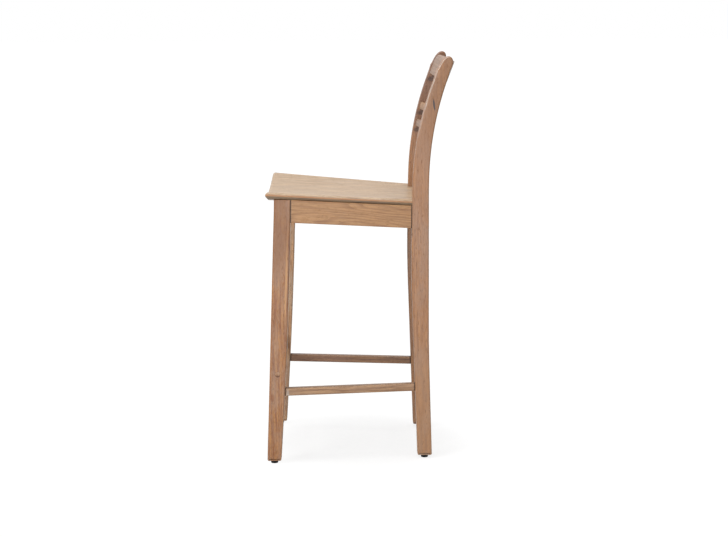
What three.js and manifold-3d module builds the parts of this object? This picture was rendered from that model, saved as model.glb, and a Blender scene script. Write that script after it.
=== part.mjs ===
// Counter-height bar stool with a ladder back and a footrest, in millimetres.
// X runs across the stool (the sitter's left is +X), Y runs from front to back, Z is up.
// The front faces of the back posts, at seat level, are at Y = 0 while the pieces are made.
import * as THREE from 'three';
import { mergeVertices } from 'three/addons/utils/BufferGeometryUtils.js';
import Module from 'manifold-3d';

const wasm = await Module();
wasm.setup();

// ---------------------------------------------------------------- driving dimensions

// fits
const JOINT_GAP = 0.3; // left between two pieces that touch
const CUT_MARGIN = 5; // how far a cutting tool runs past the face it cuts
const TRIM_REACH = 20; // how far a blank runs on before its neighbours trim it

// fineness of the curved faces
const FACE_STEPS = 30; // along a post
const LEG_STEPS = 14;
const BOW_STEPS = 20; // along a bowed rail
const SEAT_COLUMNS = 16;
const SEAT_ROWS = 5;
const ROUND_STEPS = 3; // around a rounded edge
const ARRIS_STEPS = 2; // around a small one
const TURNED_SIDES = 24;
const SMALL_SIDES = 12;

// stance
const WIDTH_OVER_FRONT_LEGS = 440;
const WIDTH_OVER_BACK_POSTS = 350;
const GLIDE_HEIGHT = 8;

// front legs
const LEG_WIDTH = 37; // across the stool
const LEG_TOP_DEPTH = 39.3; // front to back, under the seat
const LEG_FOOT_DEPTH = 34.7;
const LEG_RAKE = 26; // the foot stands this far in front of the leg's top
const LEG_TAPER_POWER = 1.5; // keeps the leg full at the top and slims it towards the foot
const ARRIS_RADIUS = 3.5; // rounded long edges of legs and posts

// back posts
const POST_WIDTH = 36; // across the stool
const POST_DEPTH = 43.5; // front to back, at seat level
const POST_TOP_HEIGHT = 1010;
const POST_LEAN_START = 500; // above this the front face leans back a little
const POST_LEAN = 0.0142;
const POST_FRONT_SWEEP_START = 681; // above this the front face follows an arc
const POST_FRONT_SWEEP_RADIUS = 788;
const POST_BACK_SWEEP_START = 690;
const POST_BACK_SWEEP_RADIUS = 800;
const POST_FRONT_KICK_START = 515; // below this the front face slopes back to the foot
const POST_FRONT_KICK = 0.0335;
const POST_BACK_KICK_START = 350;
const POST_BACK_KICK = 0.0275;
const POST_KICK_BLEND = 120; // height over which a face bends into its slope
const POST_TOP_FRONT_ROUND = 42; // drop of the long round at the top's front
const POST_TOP_BACK_ROUND = 18.7; // drop of the short round at the top's back
const POST_TOP_CROWN = 0.765; // share of the post's depth in front of its highest point
const POST_TOP_FULLNESS = 0.94; // how far the front round keeps to the front face's lean
const POST_TOP_BACK_LEAD = 1.7; // the back face still runs back this far as it turns over

// seat
const SEAT_HEIGHT = 663.5; // top surface at the middle of the front edge
const SEAT_DEPTH = 359; // front edge to the front faces of the posts
const SEAT_SIDE_OVERHANG = 9; // at the front edge, beyond the legs' outer faces
const SEAT_REAR_NARROWING = 0.5; // at the posts' front faces, inside their outer faces
const SEAT_REAR_INSET = 7; // rear edge, in front of the posts' back faces
const SEAT_THICKNESS = 16;
const SEAT_SLOPE = 0.045; // falls towards the back
const SEAT_DISH_RADIUS = 1090; // hollow across the width
const SEAT_TOP_ROUND = 7;
const SEAT_NOSE_ROUND = 9; // the front edge is rounder than the sides
const SEAT_BEVEL = 6; // underside edge
const SEAT_CORNER_RADIUS = 6; // in plan
const SEAT_FRONT_BOW = 3; // the front edge's middle stands this far forward
const SEAT_FRONT_OVERHANG = 22.2; // beyond the front legs' tops

// aprons
const APRON_HEIGHT = 57; // under the seat, at the ends of a side apron
const APRON_THICKNESS = 20;
const APRON_ARRIS = 1.5;
const SIDE_APRON_SETBACK = 2; // behind the outer faces of leg and post
const FRONT_APRON_SETBACK = 3;
const BACK_APRON_SETBACK = 3;

// stretchers and footrest
const SIDE_STRETCHER_HEIGHT = 182.7; // middle of the bar, above the floor
const SIDE_STRETCHER_WIDTH = 20;
const SIDE_STRETCHER_DEPTH = 19;
const FOOTREST_HEIGHT = 230;
const FOOTREST_THICKNESS = 22;
const FOOTREST_DEPTH = 38;
const BACK_STRETCHER_HEIGHT = 230;
const BACK_STRETCHER_WIDTH = 20;
const BACK_STRETCHER_DEPTH = 19;
const STRETCHER_ARRIS = 2.5;
const TENON_LENGTH = 15;
const TENON_SHOULDER = 4; // left all round a tenon
const TENON_ARRIS = 1;

// ladder back
const BACK_BOW = 19; // the rails bow back by this much in the middle
const CREST_BOTTOM_DROP = 60.7; // crest rail's lower edge, below the posts' tops
const CREST_HEIGHT = 56.5;
const CREST_THICKNESS = 21;
const CREST_SETBACK = 2.9; // behind the posts' front faces
const CREST_ROUND_HEIGHT = 24.5; // the top's front falls away over this height
const CREST_ROUND_DEPTH = 11.7;
const CREST_TOP_BACK_ROUND = 2.5;
const UPPER_SLAT_DROP = 142.1; // middle of the slat's end, below the posts' tops
const LOWER_SLAT_DROP = 186.5;
const SLAT_DEPTH = 19.2;
const SLAT_THICKNESS = 20;
const SLAT_SETBACK = 4.9;
const SLAT_LEAN = 16.5; // degrees
const RAIL_ARRIS = 2.5;

// corner blocks
const BLOCK_HEIGHT = 32;
const BLOCK_REACH = 48; // along an apron, from the leg or post
const BLOCK_TOE = 10; // thickness of a block where it ends on an apron

// fasteners
const DOWEL_DIAMETER = 8;
const DOWEL_LENGTH = 30;
const DOWEL_LOW = 15; // above an apron's lower edge
const DOWEL_HIGH = 36;
const SCREW_DIAMETER = 4.5;
const SCREW_HEAD_DIAMETER = 9;
const SCREW_HEAD_HEIGHT = 3;
const SCREW_TIP = 4.5;
const HEAD_CROWN = 0.7; // share of a head's radius at which its rim begins to fall
const BLOCK_SCREW_BITE = 20; // length of the screw that is in the leg or post
const BLOCK_SCREW_SINK = 4; // the head bears this far inside the block's slanting face
const SEAT_SCREW_BITE = 10;
const FOOTREST_SCREW_LENGTH = 48;
const PLUG_DIAMETER = 14;
const PLUG_DEPTH = 8;
const PLUG_DOME = 0.8;
const GLIDE_DIAMETER = 18;
const GLIDE_CHAMFER = 1.5;
const GLIDE_FLOOR = 3; // plastic under the nail's head
const NAIL_DIAMETER = 3;
const NAIL_HEAD_DIAMETER = 7;
const NAIL_BITE = 15; // length of the nail that is in the foot

// finishes
const LEG_BROWN = { color: 0xa88466, roughness: 0.6, metalness: 0 };
const POST_BROWN = { color: 0xab8669, roughness: 0.6, metalness: 0 };
const SEAT_OAK = { color: 0xcdb79d, roughness: 0.55, metalness: 0 };
const APRON_OAK = { color: 0xb8916d, roughness: 0.6, metalness: 0 };
const RAIL_OAK = { color: 0xb69a80, roughness: 0.6, metalness: 0 };
const BARE_WOOD = { color: 0xc8a97f, roughness: 0.8, metalness: 0 };
const DARK_PLASTIC = { color: 0x1b1a19, roughness: 0.5, metalness: 0 };
const ZINC = { color: 0x9da0a3, roughness: 0.4, metalness: 0.9 };

// ---------------------------------------------------------------- derived places

const legOuterX = WIDTH_OVER_FRONT_LEGS / 2;
const legInnerX = legOuterX - LEG_WIDTH;
const legMiddleX = (legOuterX + legInnerX) / 2;
const postOuterX = WIDTH_OVER_BACK_POSTS / 2;
const postInnerX = postOuterX - POST_WIDTH;
const postMiddleX = (postOuterX + postInnerX) / 2;
const seatFrontWidth = WIDTH_OVER_FRONT_LEGS + 2 * SEAT_SIDE_OVERHANG;
const seatRearWidth = WIDTH_OVER_BACK_POSTS - 2 * SEAT_REAR_NARROWING;
const seatFrontY = -SEAT_DEPTH;
const seatRearY = POST_DEPTH - SEAT_REAR_INSET;
const legTopFrontY = seatFrontY + SEAT_FRONT_OVERHANG;
const legTopBackY = legTopFrontY + LEG_TOP_DEPTH;

/** Half the seat's width at a place along its depth. */
function seatHalfWidth(y) {
  const share = (y - seatFrontY) / SEAT_DEPTH;
  return THREE.MathUtils.lerp(seatFrontWidth, seatRearWidth, share) / 2;
}

/** Height of the seat's top surface: it slopes back and is hollow across. */
function seatTop(x, y) {
  return SEAT_HEIGHT - SEAT_SLOPE * (y - seatFrontY) + (x * x) / (2 * SEAT_DISH_RADIUS);
}

function seatUnderside(x, y) {
  return seatTop(x, y) - SEAT_THICKNESS;
}

const legTopZ = seatTop(legOuterX, legTopFrontY);

function legFrontY(z) {
  const share = (legTopZ - z) / (legTopZ - GLIDE_HEIGHT);
  return legTopFrontY - LEG_RAKE * share;
}

function legBackY(z) {
  const share = Math.max(0, (legTopZ - z) / (legTopZ - GLIDE_HEIGHT));
  const footMove = LEG_RAKE + LEG_TOP_DEPTH - LEG_FOOT_DEPTH;
  return legTopBackY - footMove * share ** LEG_TAPER_POWER;
}

function legMiddleY(z) {
  return (legFrontY(z) + legBackY(z)) / 2;
}

/** How far an arc that starts at a height has swept back at another height. */
function sweepBack(z, start, radius) {
  const rise = Math.max(0, z - start);
  return radius - Math.sqrt(radius * radius - rise * rise);
}

/** How far a face that slopes back below a height has moved at another height. */
function kickBack(z, start, slope) {
  const fall = Math.max(0, start - z);
  const bent = Math.min(fall, POST_KICK_BLEND);
  return slope * ((bent * bent) / (2 * POST_KICK_BLEND) + fall - bent);
}

function postFrontY(z) {
  const lean = POST_LEAN * Math.max(0, z - POST_LEAN_START);
  const sweep = sweepBack(z, POST_FRONT_SWEEP_START, POST_FRONT_SWEEP_RADIUS);
  return lean + sweep + kickBack(z, POST_FRONT_KICK_START, POST_FRONT_KICK);
}

function postBackY(z) {
  const sweep = sweepBack(z, POST_BACK_SWEEP_START, POST_BACK_SWEEP_RADIUS);
  return POST_DEPTH + sweep + kickBack(z, POST_BACK_KICK_START, POST_BACK_KICK);
}

function postMiddleY(z) {
  return (postFrontY(z) + postBackY(z)) / 2;
}

/** Angle between the post's front face and upright. */
function postLeanAt(z) {
  const step = 10;
  return Math.atan2(postFrontY(z + step) - postFrontY(z - step), 2 * step);
}

// ---------------------------------------------------------------- solids and meshes

function toSolid(geometry) {
  const bare = geometry.clone();
  bare.deleteAttribute('normal');
  bare.deleteAttribute('uv');
  const merged = mergeVertices(bare, 1e-4);
  const mesh = new wasm.Mesh({
    numProp: 3,
    vertProperties: new Float32Array(merged.attributes.position.array),
    triVerts: new Uint32Array(merged.index.array),
  });
  return new wasm.Manifold(mesh);
}

function toGeometry(solid) {
  const mesh = solid.getMesh();
  const geometry = new THREE.BufferGeometry();
  geometry.setAttribute('position', new THREE.BufferAttribute(mesh.vertProperties, 3));
  geometry.setIndex(new THREE.BufferAttribute(mesh.triVerts, 1));
  return geometry;
}

/** Cuts every tool out of a body. Bodies and tools are geometries. */
function cut(body, tools) {
  const solid = tools.reduce((left, tool) => left.subtract(toSolid(tool)), toSolid(body));
  return toGeometry(solid);
}

function join(pieces) {
  const [first, ...others] = pieces.map(toSolid);
  return toGeometry(others.reduce((sum, piece) => sum.add(piece), first));
}

function keepInside(body, limit) {
  return toGeometry(toSolid(body).intersect(toSolid(limit)));
}

/** The same piece on the other side of the stool. */
function mirrored(geometry) {
  const copy = geometry.clone();
  copy.scale(-1, 1, 1);
  const index = copy.index.array;
  for (let i = 0; i < index.length; i += 3) {
    [index[i], index[i + 1]] = [index[i + 1], index[i]];
  }
  return copy;
}

/** Welds a geometry to an index, so that it can be mirrored. */
function welded(geometry) {
  return toGeometry(toSolid(geometry));
}

function box(minX, maxX, minY, maxY, minZ, maxZ) {
  const geometry = new THREE.BoxGeometry(maxX - minX, maxY - minY, maxZ - minZ);
  return geometry.translate((minX + maxX) / 2, (minY + maxY) / 2, (minZ + maxZ) / 2);
}

/** A rod between two points. */
function rod(radius, from, to, sides) {
  const axis = new THREE.Vector3().subVectors(to, from);
  const geometry = new THREE.CylinderGeometry(radius, radius, axis.length(), sides);
  const turn = new THREE.Quaternion();
  turn.setFromUnitVectors(new THREE.Vector3(0, 1, 0), axis.clone().normalize());
  geometry.applyQuaternion(turn);
  return geometry.translate(...from.clone().add(to).multiplyScalar(0.5).toArray());
}

/** A turned piece whose profile runs along an axis from a point. */
function turned(profile, from, direction, sides) {
  const geometry = new THREE.LatheGeometry(profile, sides);
  const turn = new THREE.Quaternion();
  turn.setFromUnitVectors(new THREE.Vector3(0, 1, 0), direction.clone().normalize());
  geometry.applyQuaternion(turn);
  return geometry.translate(...from.toArray());
}

/** Extrudes an outline drawn in Y and Z across the stool, with rounded long edges. */
function extrudeAcross(outline, minX, maxX, radius) {
  const geometry = new THREE.ExtrudeGeometry(outline, {
    depth: maxX - minX - 2 * radius,
    bevelEnabled: radius > 0,
    bevelThickness: radius,
    bevelSize: radius,
    bevelOffset: -radius,
    bevelSegments: ROUND_STEPS,
  });
  const [x, y, z] = [0, 1, 2].map((axis) => new THREE.Vector3().setComponent(axis, 1));
  geometry.applyMatrix4(new THREE.Matrix4().makeBasis(y, z, x));
  return geometry.translate(minX + radius, 0, 0);
}

/** Extrudes an outline drawn in X and Y upwards. */
function extrudeUp(outline, minZ, maxZ) {
  const settings = { depth: maxZ - minZ, bevelEnabled: false };
  return new THREE.ExtrudeGeometry(outline, settings).translate(0, 0, minZ);
}

/** Corner points of a rectangle with rounded corners, around its middle. */
function roundedRectangle(width, height, radius, steps = ROUND_STEPS) {
  const points = [];
  for (const [cornerX, cornerY, start] of [[1, 1, 0], [-1, 1, 1], [-1, -1, 2], [1, -1, 3]]) {
    for (let i = 0; i <= steps; i += 1) {
      const angle = (start + i / steps) * (Math.PI / 2);
      const x = cornerX * (width / 2 - radius) + radius * Math.cos(angle);
      const y = cornerY * (height / 2 - radius) + radius * Math.sin(angle);
      points.push(new THREE.Vector2(x, y));
    }
  }
  return points;
}

/** A closed skin through rings of equally many points, with a flat cap on each end. */
function loft(rings) {
  const count = rings[0].length;
  const index = [];
  for (let ring = 0; ring + 1 < rings.length; ring += 1) {
    for (let i = 0; i < count; i += 1) {
      const next = (i + 1) % count;
      const [a, b] = [ring * count + i, ring * count + next];
      index.push(a, b, b + count, a, b + count, a + count);
    }
  }
  const last = (rings.length - 1) * count;
  for (let i = 1; i + 1 < count; i += 1) {
    index.push(0, i + 1, i);
    index.push(last, last + i, last + i + 1);
  }
  const geometry = new THREE.BufferGeometry().setFromPoints(rings.flat());
  geometry.setIndex(index);
  return geometry;
}

/** A straight bar of a section between two points, run past each by the same length. */
function barBetween(from, to, overrun, section) {
  const run = new THREE.Vector3().subVectors(to, from).normalize();
  const up = new THREE.Vector3(0, 0, 1);
  const side = new THREE.Vector3().crossVectors(up, run);
  const ringAt = (end, shift) => section.map((point) => end.clone()
    .addScaledVector(run, shift).addScaledVector(side, point.x).addScaledVector(up, point.y));
  return loft([ringAt(from, -overrun), ringAt(to, overrun)]);
}

/** A stretcher between two faces: its bar, the tongue through it and the slot for that. */
function stretcher(from, to, width, depth, overrun = 0) {
  const tenonWidth = width - 2 * TENON_SHOULDER;
  const tenonDepth = depth - 2 * TENON_SHOULDER;
  const section = roundedRectangle(width, depth, STRETCHER_ARRIS);
  const tenon = roundedRectangle(tenonWidth, tenonDepth, TENON_ARRIS, 1);
  const slotWidth = tenonWidth + 2 * JOINT_GAP;
  const slotDepth = tenonDepth + 2 * JOINT_GAP;
  const slot = roundedRectangle(slotWidth, slotDepth, TENON_ARRIS, 1);
  return {
    bar: barBetween(from, to, overrun, section),
    tongue: barBetween(from, to, TENON_LENGTH, tenon),
    mortise: barBetween(from, to, TENON_LENGTH + JOINT_GAP, slot),
  };
}

// ---------------------------------------------------------------- seat

/** Distances from an edge to grid lines: close together on the rounded edge. */
function edgeInsets(radius, steps) {
  const insets = [];
  for (let i = 0; i <= steps; i += 1) {
    insets.push(radius * (1 - Math.cos((i / steps) * (Math.PI / 2))));
  }
  return insets;
}

/** How far a rounded top edge has dropped at a distance in from the edge. */
function roundDrop(inset, radius) {
  const short = Math.max(0, radius - inset);
  return radius - Math.sqrt(radius * radius - short * short);
}

/** A plate between two height functions over a four-sided plan with grid lines. */
function plate(columns, rows, planPoint, topAt, bottomAt) {
  const points = [];
  for (const heightAt of [bottomAt, topAt]) {
    for (const row of rows) {
      for (const column of columns) {
        const { x, y } = planPoint(column, row);
        points.push(new THREE.Vector3(x, y, heightAt(x, y)));
      }
    }
  }
  const across = columns.length;
  const layer = across * rows.length;
  const index = [];
  const quad = (a, b, c, d) => index.push(a, b, c, a, c, d);
  for (let r = 0; r + 1 < rows.length; r += 1) {
    for (let c = 0; c + 1 < across; c += 1) {
      const corner = r * across + c;
      quad(corner, corner + across, corner + across + 1, corner + 1);
      const above = corner + layer;
      quad(above, above + 1, above + across + 1, above + across);
    }
  }
  for (let c = 0; c + 1 < across; c += 1) {
    quad(c, c + 1, c + 1 + layer, c + layer);
    const rear = layer - across + c;
    quad(rear + 1, rear, rear + layer, rear + 1 + layer);
  }
  for (let r = 0; r + 1 < rows.length; r += 1) {
    const left = r * across;
    quad(left + across, left, left + layer, left + across + layer);
    const right = left + across - 1;
    quad(right, right + across, right + across + layer, right + layer);
  }
  const geometry = new THREE.BufferGeometry().setFromPoints(points);
  geometry.setIndex(index);
  return geometry;
}

/** Grid lines from one edge to the other: dense on the edges, even between them. */
function gridLines(length, firstInsets, lastInsets, middleSteps) {
  const from = firstInsets.at(-1);
  const to = length - lastInsets.at(-1);
  const lines = [...firstInsets];
  for (let i = 1; i < middleSteps; i += 1) {
    lines.push(THREE.MathUtils.lerp(from, to, i / middleSteps));
  }
  return lines.concat(lastInsets.map((inset) => length - inset).reverse());
}

const seatLength = seatRearY - seatFrontY;

/** The front edge's bow at a place across the seat. */
function frontBow(x) {
  const share = x / (seatFrontWidth / 2);
  return SEAT_FRONT_BOW * (1 - share * share);
}

/** The solid above the seat's underside, which trims everything that carries the seat. */
function aboveUnderside(gap) {
  const reach = seatFrontWidth / 2 + TRIM_REACH;
  const columns = gridLines(2 * reach, [0], [0], SEAT_COLUMNS);
  const rows = [seatFrontY - TRIM_REACH, POST_DEPTH + TRIM_REACH];
  const planPoint = (column, row) => ({ x: column - reach, y: row });
  const bottomAt = (x, y) => seatUnderside(x, y) - gap;
  const topAt = (x, y) => seatTop(x, y) + 2 * APRON_HEIGHT;
  return plate(columns, rows, planPoint, topAt, bottomAt);
}

const seatTrim = aboveUnderside(JOINT_GAP);

/** Plan of the seat with its small corner radii. */
function seatPlan() {
  const front = seatHalfWidth(seatFrontY);
  const rear = seatHalfWidth(seatRearY);
  const r = SEAT_CORNER_RADIUS;
  const nose = seatFrontY - SEAT_FRONT_BOW;
  const plan = new THREE.Shape();
  plan.moveTo(-front + r, seatFrontY);
  plan.quadraticCurveTo(0, nose - SEAT_FRONT_BOW, front - r, seatFrontY);
  plan.quadraticCurveTo(front, seatFrontY, seatHalfWidth(seatFrontY + r), seatFrontY + r);
  plan.lineTo(rear, seatRearY);
  plan.lineTo(-rear, seatRearY);
  plan.lineTo(-seatHalfWidth(seatFrontY + r), seatFrontY + r);
  plan.quadraticCurveTo(-front, seatFrontY, -front + r, seatFrontY);
  return plan;
}

function seatPanel(tools) {
  const sideInsets = edgeInsets(SEAT_TOP_ROUND, ROUND_STEPS);
  const frontInsets = edgeInsets(SEAT_NOSE_ROUND, ROUND_STEPS + 1);
  const width = seatFrontWidth;
  const columns = gridLines(width, sideInsets, sideInsets, SEAT_COLUMNS);
  const rows = gridLines(seatLength, frontInsets, [0, SEAT_BEVEL], SEAT_ROWS);
  const planPoint = (column, row) => {
    const y = seatFrontY + row;
    const narrowing = seatHalfWidth(seatFrontY) - seatHalfWidth(y);
    const share = (column - width / 2) / (width / 2);
    const x = column - width / 2 - narrowing * share;
    return { x, y: y - frontBow(x) * (1 - row / seatLength) };
  };
  const sideInset = (x, y) => seatHalfWidth(y) - Math.abs(x);
  const frontInset = (x, y) => Math.max(0, y + frontBow(x) - seatFrontY);
  const topAt = (x, y) => {
    const side = roundDrop(Math.max(0, sideInset(x, y)), SEAT_TOP_ROUND);
    const front = roundDrop(frontInset(x, y), SEAT_NOSE_ROUND);
    return seatTop(x, y) - Math.max(side, front);
  };
  const bottomAt = (x, y) => {
    const inset = Math.min(sideInset(x, y), frontInset(x, y));
    return seatUnderside(x, y) + Math.max(0, SEAT_BEVEL - Math.max(0, inset));
  };
  const blank = plate(columns, rows, planPoint, topAt, bottomAt);
  const trimmed = keepInside(blank, extrudeUp(seatPlan(), 0, 2 * SEAT_HEIGHT));
  return cut(trimmed, tools);
}

// ---------------------------------------------------------------- legs and posts

/** Points along a face from one height to another. */
function facePoints(faceY, fromZ, toZ, steps) {
  const points = [];
  for (let i = 0; i <= steps; i += 1) {
    const z = THREE.MathUtils.lerp(fromZ, toZ, i / steps);
    points.push(new THREE.Vector2(faceY(z), z));
  }
  return points;
}

function frontLegBlank() {
  const blankTop = legTopZ + CUT_MARGIN;
  const front = facePoints(legFrontY, blankTop, GLIDE_HEIGHT, 1);
  const back = facePoints(legBackY, GLIDE_HEIGHT, blankTop, LEG_STEPS);
  const outline = new THREE.Shape([...front, ...back]);
  return extrudeAcross(outline, legInnerX, legOuterX, ARRIS_RADIUS);
}

function postOutline() {
  const frontEnd = POST_TOP_HEIGHT - POST_TOP_FRONT_ROUND;
  const backEnd = POST_TOP_HEIGHT - POST_TOP_BACK_ROUND;
  const front = facePoints(postFrontY, frontEnd, GLIDE_HEIGHT, FACE_STEPS);
  const back = facePoints(postBackY, GLIDE_HEIGHT, backEnd, FACE_STEPS);
  const outline = new THREE.Shape([...front, ...back]);
  const [start, end] = [postFrontY(frontEnd), postBackY(backEnd)];
  const crown = THREE.MathUtils.lerp(start, end, POST_TOP_CROWN);
  const frontRun = POST_TOP_FRONT_ROUND * Math.tan(postLeanAt(frontEnd));
  const frontCorner = start + POST_TOP_FULLNESS * frontRun;
  const backCorner = end + POST_TOP_BACK_LEAD;
  outline.quadraticCurveTo(backCorner, POST_TOP_HEIGHT, crown, POST_TOP_HEIGHT);
  outline.quadraticCurveTo(frontCorner, POST_TOP_HEIGHT, start, frontEnd);
  return outline;
}

function backPostBlank() {
  return extrudeAcross(postOutline(), postInnerX, postOuterX, ARRIS_RADIUS);
}

// ---------------------------------------------------------------- aprons

const sideApronFrontX = legOuterX - SIDE_APRON_SETBACK;
const sideApronRearX = postOuterX - SIDE_APRON_SETBACK;
const sideApronFrontZ = seatUnderside(sideApronFrontX, legTopBackY) - APRON_HEIGHT;
const sideApronRearZ = seatUnderside(sideApronRearX, 0) - APRON_HEIGHT;
const sideApronAngle = Math.atan2(sideApronFrontX - sideApronRearX, -legTopBackY);
const sideApronAcross = APRON_THICKNESS / Math.cos(sideApronAngle);

function sideApronOuterX(y) {
  return THREE.MathUtils.mapLinear(y, legTopBackY, 0, sideApronFrontX, sideApronRearX);
}

function sideApronInnerX(y) {
  return sideApronOuterX(y) - sideApronAcross;
}

function sideApronBottomZ(y) {
  return THREE.MathUtils.mapLinear(y, legTopBackY, 0, sideApronFrontZ, sideApronRearZ);
}

function sideApron(tools) {
  const front = legTopBackY - TRIM_REACH;
  const rear = TRIM_REACH;
  const ringAt = (y) => {
    const middle = new THREE.Vector3(
      sideApronOuterX(y) - sideApronAcross / 2,
      y,
      sideApronBottomZ(y) + APRON_HEIGHT,
    );
    return roundedRectangle(sideApronAcross, 2 * APRON_HEIGHT, APRON_ARRIS, ARRIS_STEPS)
      .map((point) => new THREE.Vector3(middle.x - point.x, y, middle.z + point.y));
  };
  return cut(loft([ringAt(front), ringAt(rear)]), [seatTrim, ...tools]);
}

/** Leg and post blanks grown by the joint gap, to square off the ends of an apron. */
const legShadow = extrudeAcross(
  new THREE.Shape([
    ...facePoints((z) => legFrontY(z) - JOINT_GAP, legTopZ + CUT_MARGIN, GLIDE_HEIGHT, 1),
    ...facePoints((z) => legBackY(z) + JOINT_GAP, GLIDE_HEIGHT, legTopZ + CUT_MARGIN, LEG_STEPS),
  ]),
  legInnerX - JOINT_GAP,
  legOuterX + CUT_MARGIN,
  0,
);

const postShadow = extrudeAcross(
  new THREE.Shape([
    ...facePoints((z) => postFrontY(z) - JOINT_GAP, POST_TOP_HEIGHT, GLIDE_HEIGHT, FACE_STEPS),
    ...facePoints((z) => postBackY(z) + JOINT_GAP, GLIDE_HEIGHT, POST_TOP_HEIGHT, FACE_STEPS),
  ]),
  postInnerX - JOINT_GAP,
  postOuterX + CUT_MARGIN,
  0,
);

/** An apron straight across the stool between two inner faces. */
function crossApron(frontY, halfLength, bottomZ, tools) {
  const section = roundedRectangle(APRON_THICKNESS, 2 * APRON_HEIGHT, APRON_ARRIS, ARRIS_STEPS);
  const ringAt = (x) => section.map((point) => new THREE.Vector3(
    x,
    frontY + APRON_THICKNESS / 2 + point.x,
    bottomZ + APRON_HEIGHT + point.y,
  ));
  return cut(loft([ringAt(-halfLength), ringAt(halfLength)]), [seatTrim, ...tools]);
}

const frontApronY = legTopFrontY + FRONT_APRON_SETBACK;
const backApronY = POST_DEPTH - BACK_APRON_SETBACK - APRON_THICKNESS;

// ---------------------------------------------------------------- ladder back

/** Where a back rail's end meets the post, and how far the rail leans. */
function railEnd(z, setback, thickness, lean) {
  const y = postFrontY(z) + (setback + thickness / 2) / Math.cos(lean);
  return { point: new THREE.Vector3(0, y, z), lean };
}

/** A rail of a section bowed back, square to its lean, with a tenon on each end. */
function bowedRail({ point, lean }, section, tenonSection) {
  const halfSpan = postInnerX - JOINT_GAP;
  const radius = (postInnerX * postInnerX + BACK_BOW * BACK_BOW) / (2 * BACK_BOW);
  const back = new THREE.Vector3(0, Math.cos(lean), -Math.sin(lean));
  const up = new THREE.Vector3(0, Math.sin(lean), Math.cos(lean));
  const side = new THREE.Vector3(1, 0, 0);
  const reachAngle = Math.asin((postInnerX + CUT_MARGIN) / radius);
  const rings = [];
  for (let i = 0; i <= BOW_STEPS; i += 1) {
    const angle = THREE.MathUtils.lerp(-reachAngle, reachAngle, i / BOW_STEPS);
    const bow = radius * Math.cos(angle) - (radius - BACK_BOW);
    const middle = point.clone().setX(radius * Math.sin(angle)).addScaledVector(back, bow);
    rings.push(section.map(({ x: depth, y: height }) => middle.clone()
      .addScaledVector(side, depth * Math.sin(angle))
      .addScaledVector(back, depth * Math.cos(angle))
      .addScaledVector(up, height)));
  }
  const limit = box(-halfSpan, halfSpan, -SEAT_DEPTH, SEAT_DEPTH, 0, 2 * POST_TOP_HEIGHT);
  const body = keepInside(loft(rings), limit);
  const tongues = [-1, 1].map((hand) => {
    const tongueAt = (x) => tenonSection.map(({ x: depth, y: height }) => point.clone()
      .addScaledVector(side, x).addScaledVector(back, depth).addScaledVector(up, height));
    const outer = hand * (postInnerX + TENON_LENGTH);
    const inner = hand * (postInnerX - TENON_LENGTH / 2);
    return loft([tongueAt(Math.min(outer, inner)), tongueAt(Math.max(outer, inner))]);
  });
  return join([body, ...tongues]);
}

/** The pocket in the +X post for a rail's tenon. */
function railMortise({ point, lean }, tenonSection) {
  const back = new THREE.Vector3(0, Math.cos(lean), -Math.sin(lean));
  const up = new THREE.Vector3(0, Math.sin(lean), Math.cos(lean));
  const middle = new THREE.Vector2();
  tenonSection.forEach((corner) => middle.addScaledVector(corner, 1 / tenonSection.length));
  const grown = tenonSection.map((corner) => {
    const out = corner.clone().sub(middle);
    const step = new THREE.Vector2(Math.sign(out.x), Math.sign(out.y));
    return corner.clone().addScaledVector(step, JOINT_GAP);
  });
  const ringAt = (x) => grown.map(({ x: depth, y: height }) => point.clone()
    .setX(x).addScaledVector(back, depth).addScaledVector(up, height));
  const floor = postInnerX + TENON_LENGTH + JOINT_GAP;
  return loft([ringAt(postInnerX - CUT_MARGIN), ringAt(floor)]);
}

const slatSection = roundedRectangle(SLAT_THICKNESS, SLAT_DEPTH, RAIL_ARRIS, ARRIS_STEPS);
const slatTenon = roundedRectangle(
  SLAT_THICKNESS - 2 * TENON_SHOULDER,
  SLAT_DEPTH - TENON_SHOULDER,
  TENON_ARRIS,
  1,
);

/** The crest rail's section: its front falls away in a long round below the top. */
function crestSection() {
  const half = CREST_THICKNESS / 2;
  const bottom = RAIL_ARRIS;
  const shape = new THREE.Shape();
  shape.moveTo(-half + bottom, 0);
  shape.lineTo(half - bottom, 0);
  shape.quadraticCurveTo(half, 0, half, bottom);
  shape.lineTo(half, CREST_HEIGHT - CREST_TOP_BACK_ROUND);
  shape.quadraticCurveTo(half, CREST_HEIGHT, half - CREST_TOP_BACK_ROUND, CREST_HEIGHT);
  shape.lineTo(-half + CREST_ROUND_DEPTH, CREST_HEIGHT);
  shape.quadraticCurveTo(-half, CREST_HEIGHT, -half, CREST_HEIGHT - CREST_ROUND_HEIGHT);
  shape.lineTo(-half, bottom);
  shape.quadraticCurveTo(-half, 0, -half + bottom, 0);
  const points = shape.getPoints(5);
  points.pop();
  return points;
}

const crestTenonHeight = CREST_HEIGHT - CREST_ROUND_HEIGHT - 2 * TENON_SHOULDER;
const crestTenon = roundedRectangle(
  CREST_THICKNESS - 2 * TENON_SHOULDER,
  crestTenonHeight,
  TENON_ARRIS,
  1,
).map((corner) => corner.clone().add(new THREE.Vector2(0, CREST_HEIGHT / 2 - TENON_SHOULDER)));

const crestBottomZ = POST_TOP_HEIGHT - CREST_BOTTOM_DROP;
const crestLean = postLeanAt(crestBottomZ);
const crestEnd = railEnd(crestBottomZ, CREST_SETBACK, CREST_THICKNESS, crestLean);

function slatEnd(drop) {
  const lean = THREE.MathUtils.degToRad(SLAT_LEAN);
  return railEnd(POST_TOP_HEIGHT - drop, SLAT_SETBACK, SLAT_THICKNESS, lean);
}

const upperSlatEnd = slatEnd(UPPER_SLAT_DROP);
const lowerSlatEnd = slatEnd(LOWER_SLAT_DROP);

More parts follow.
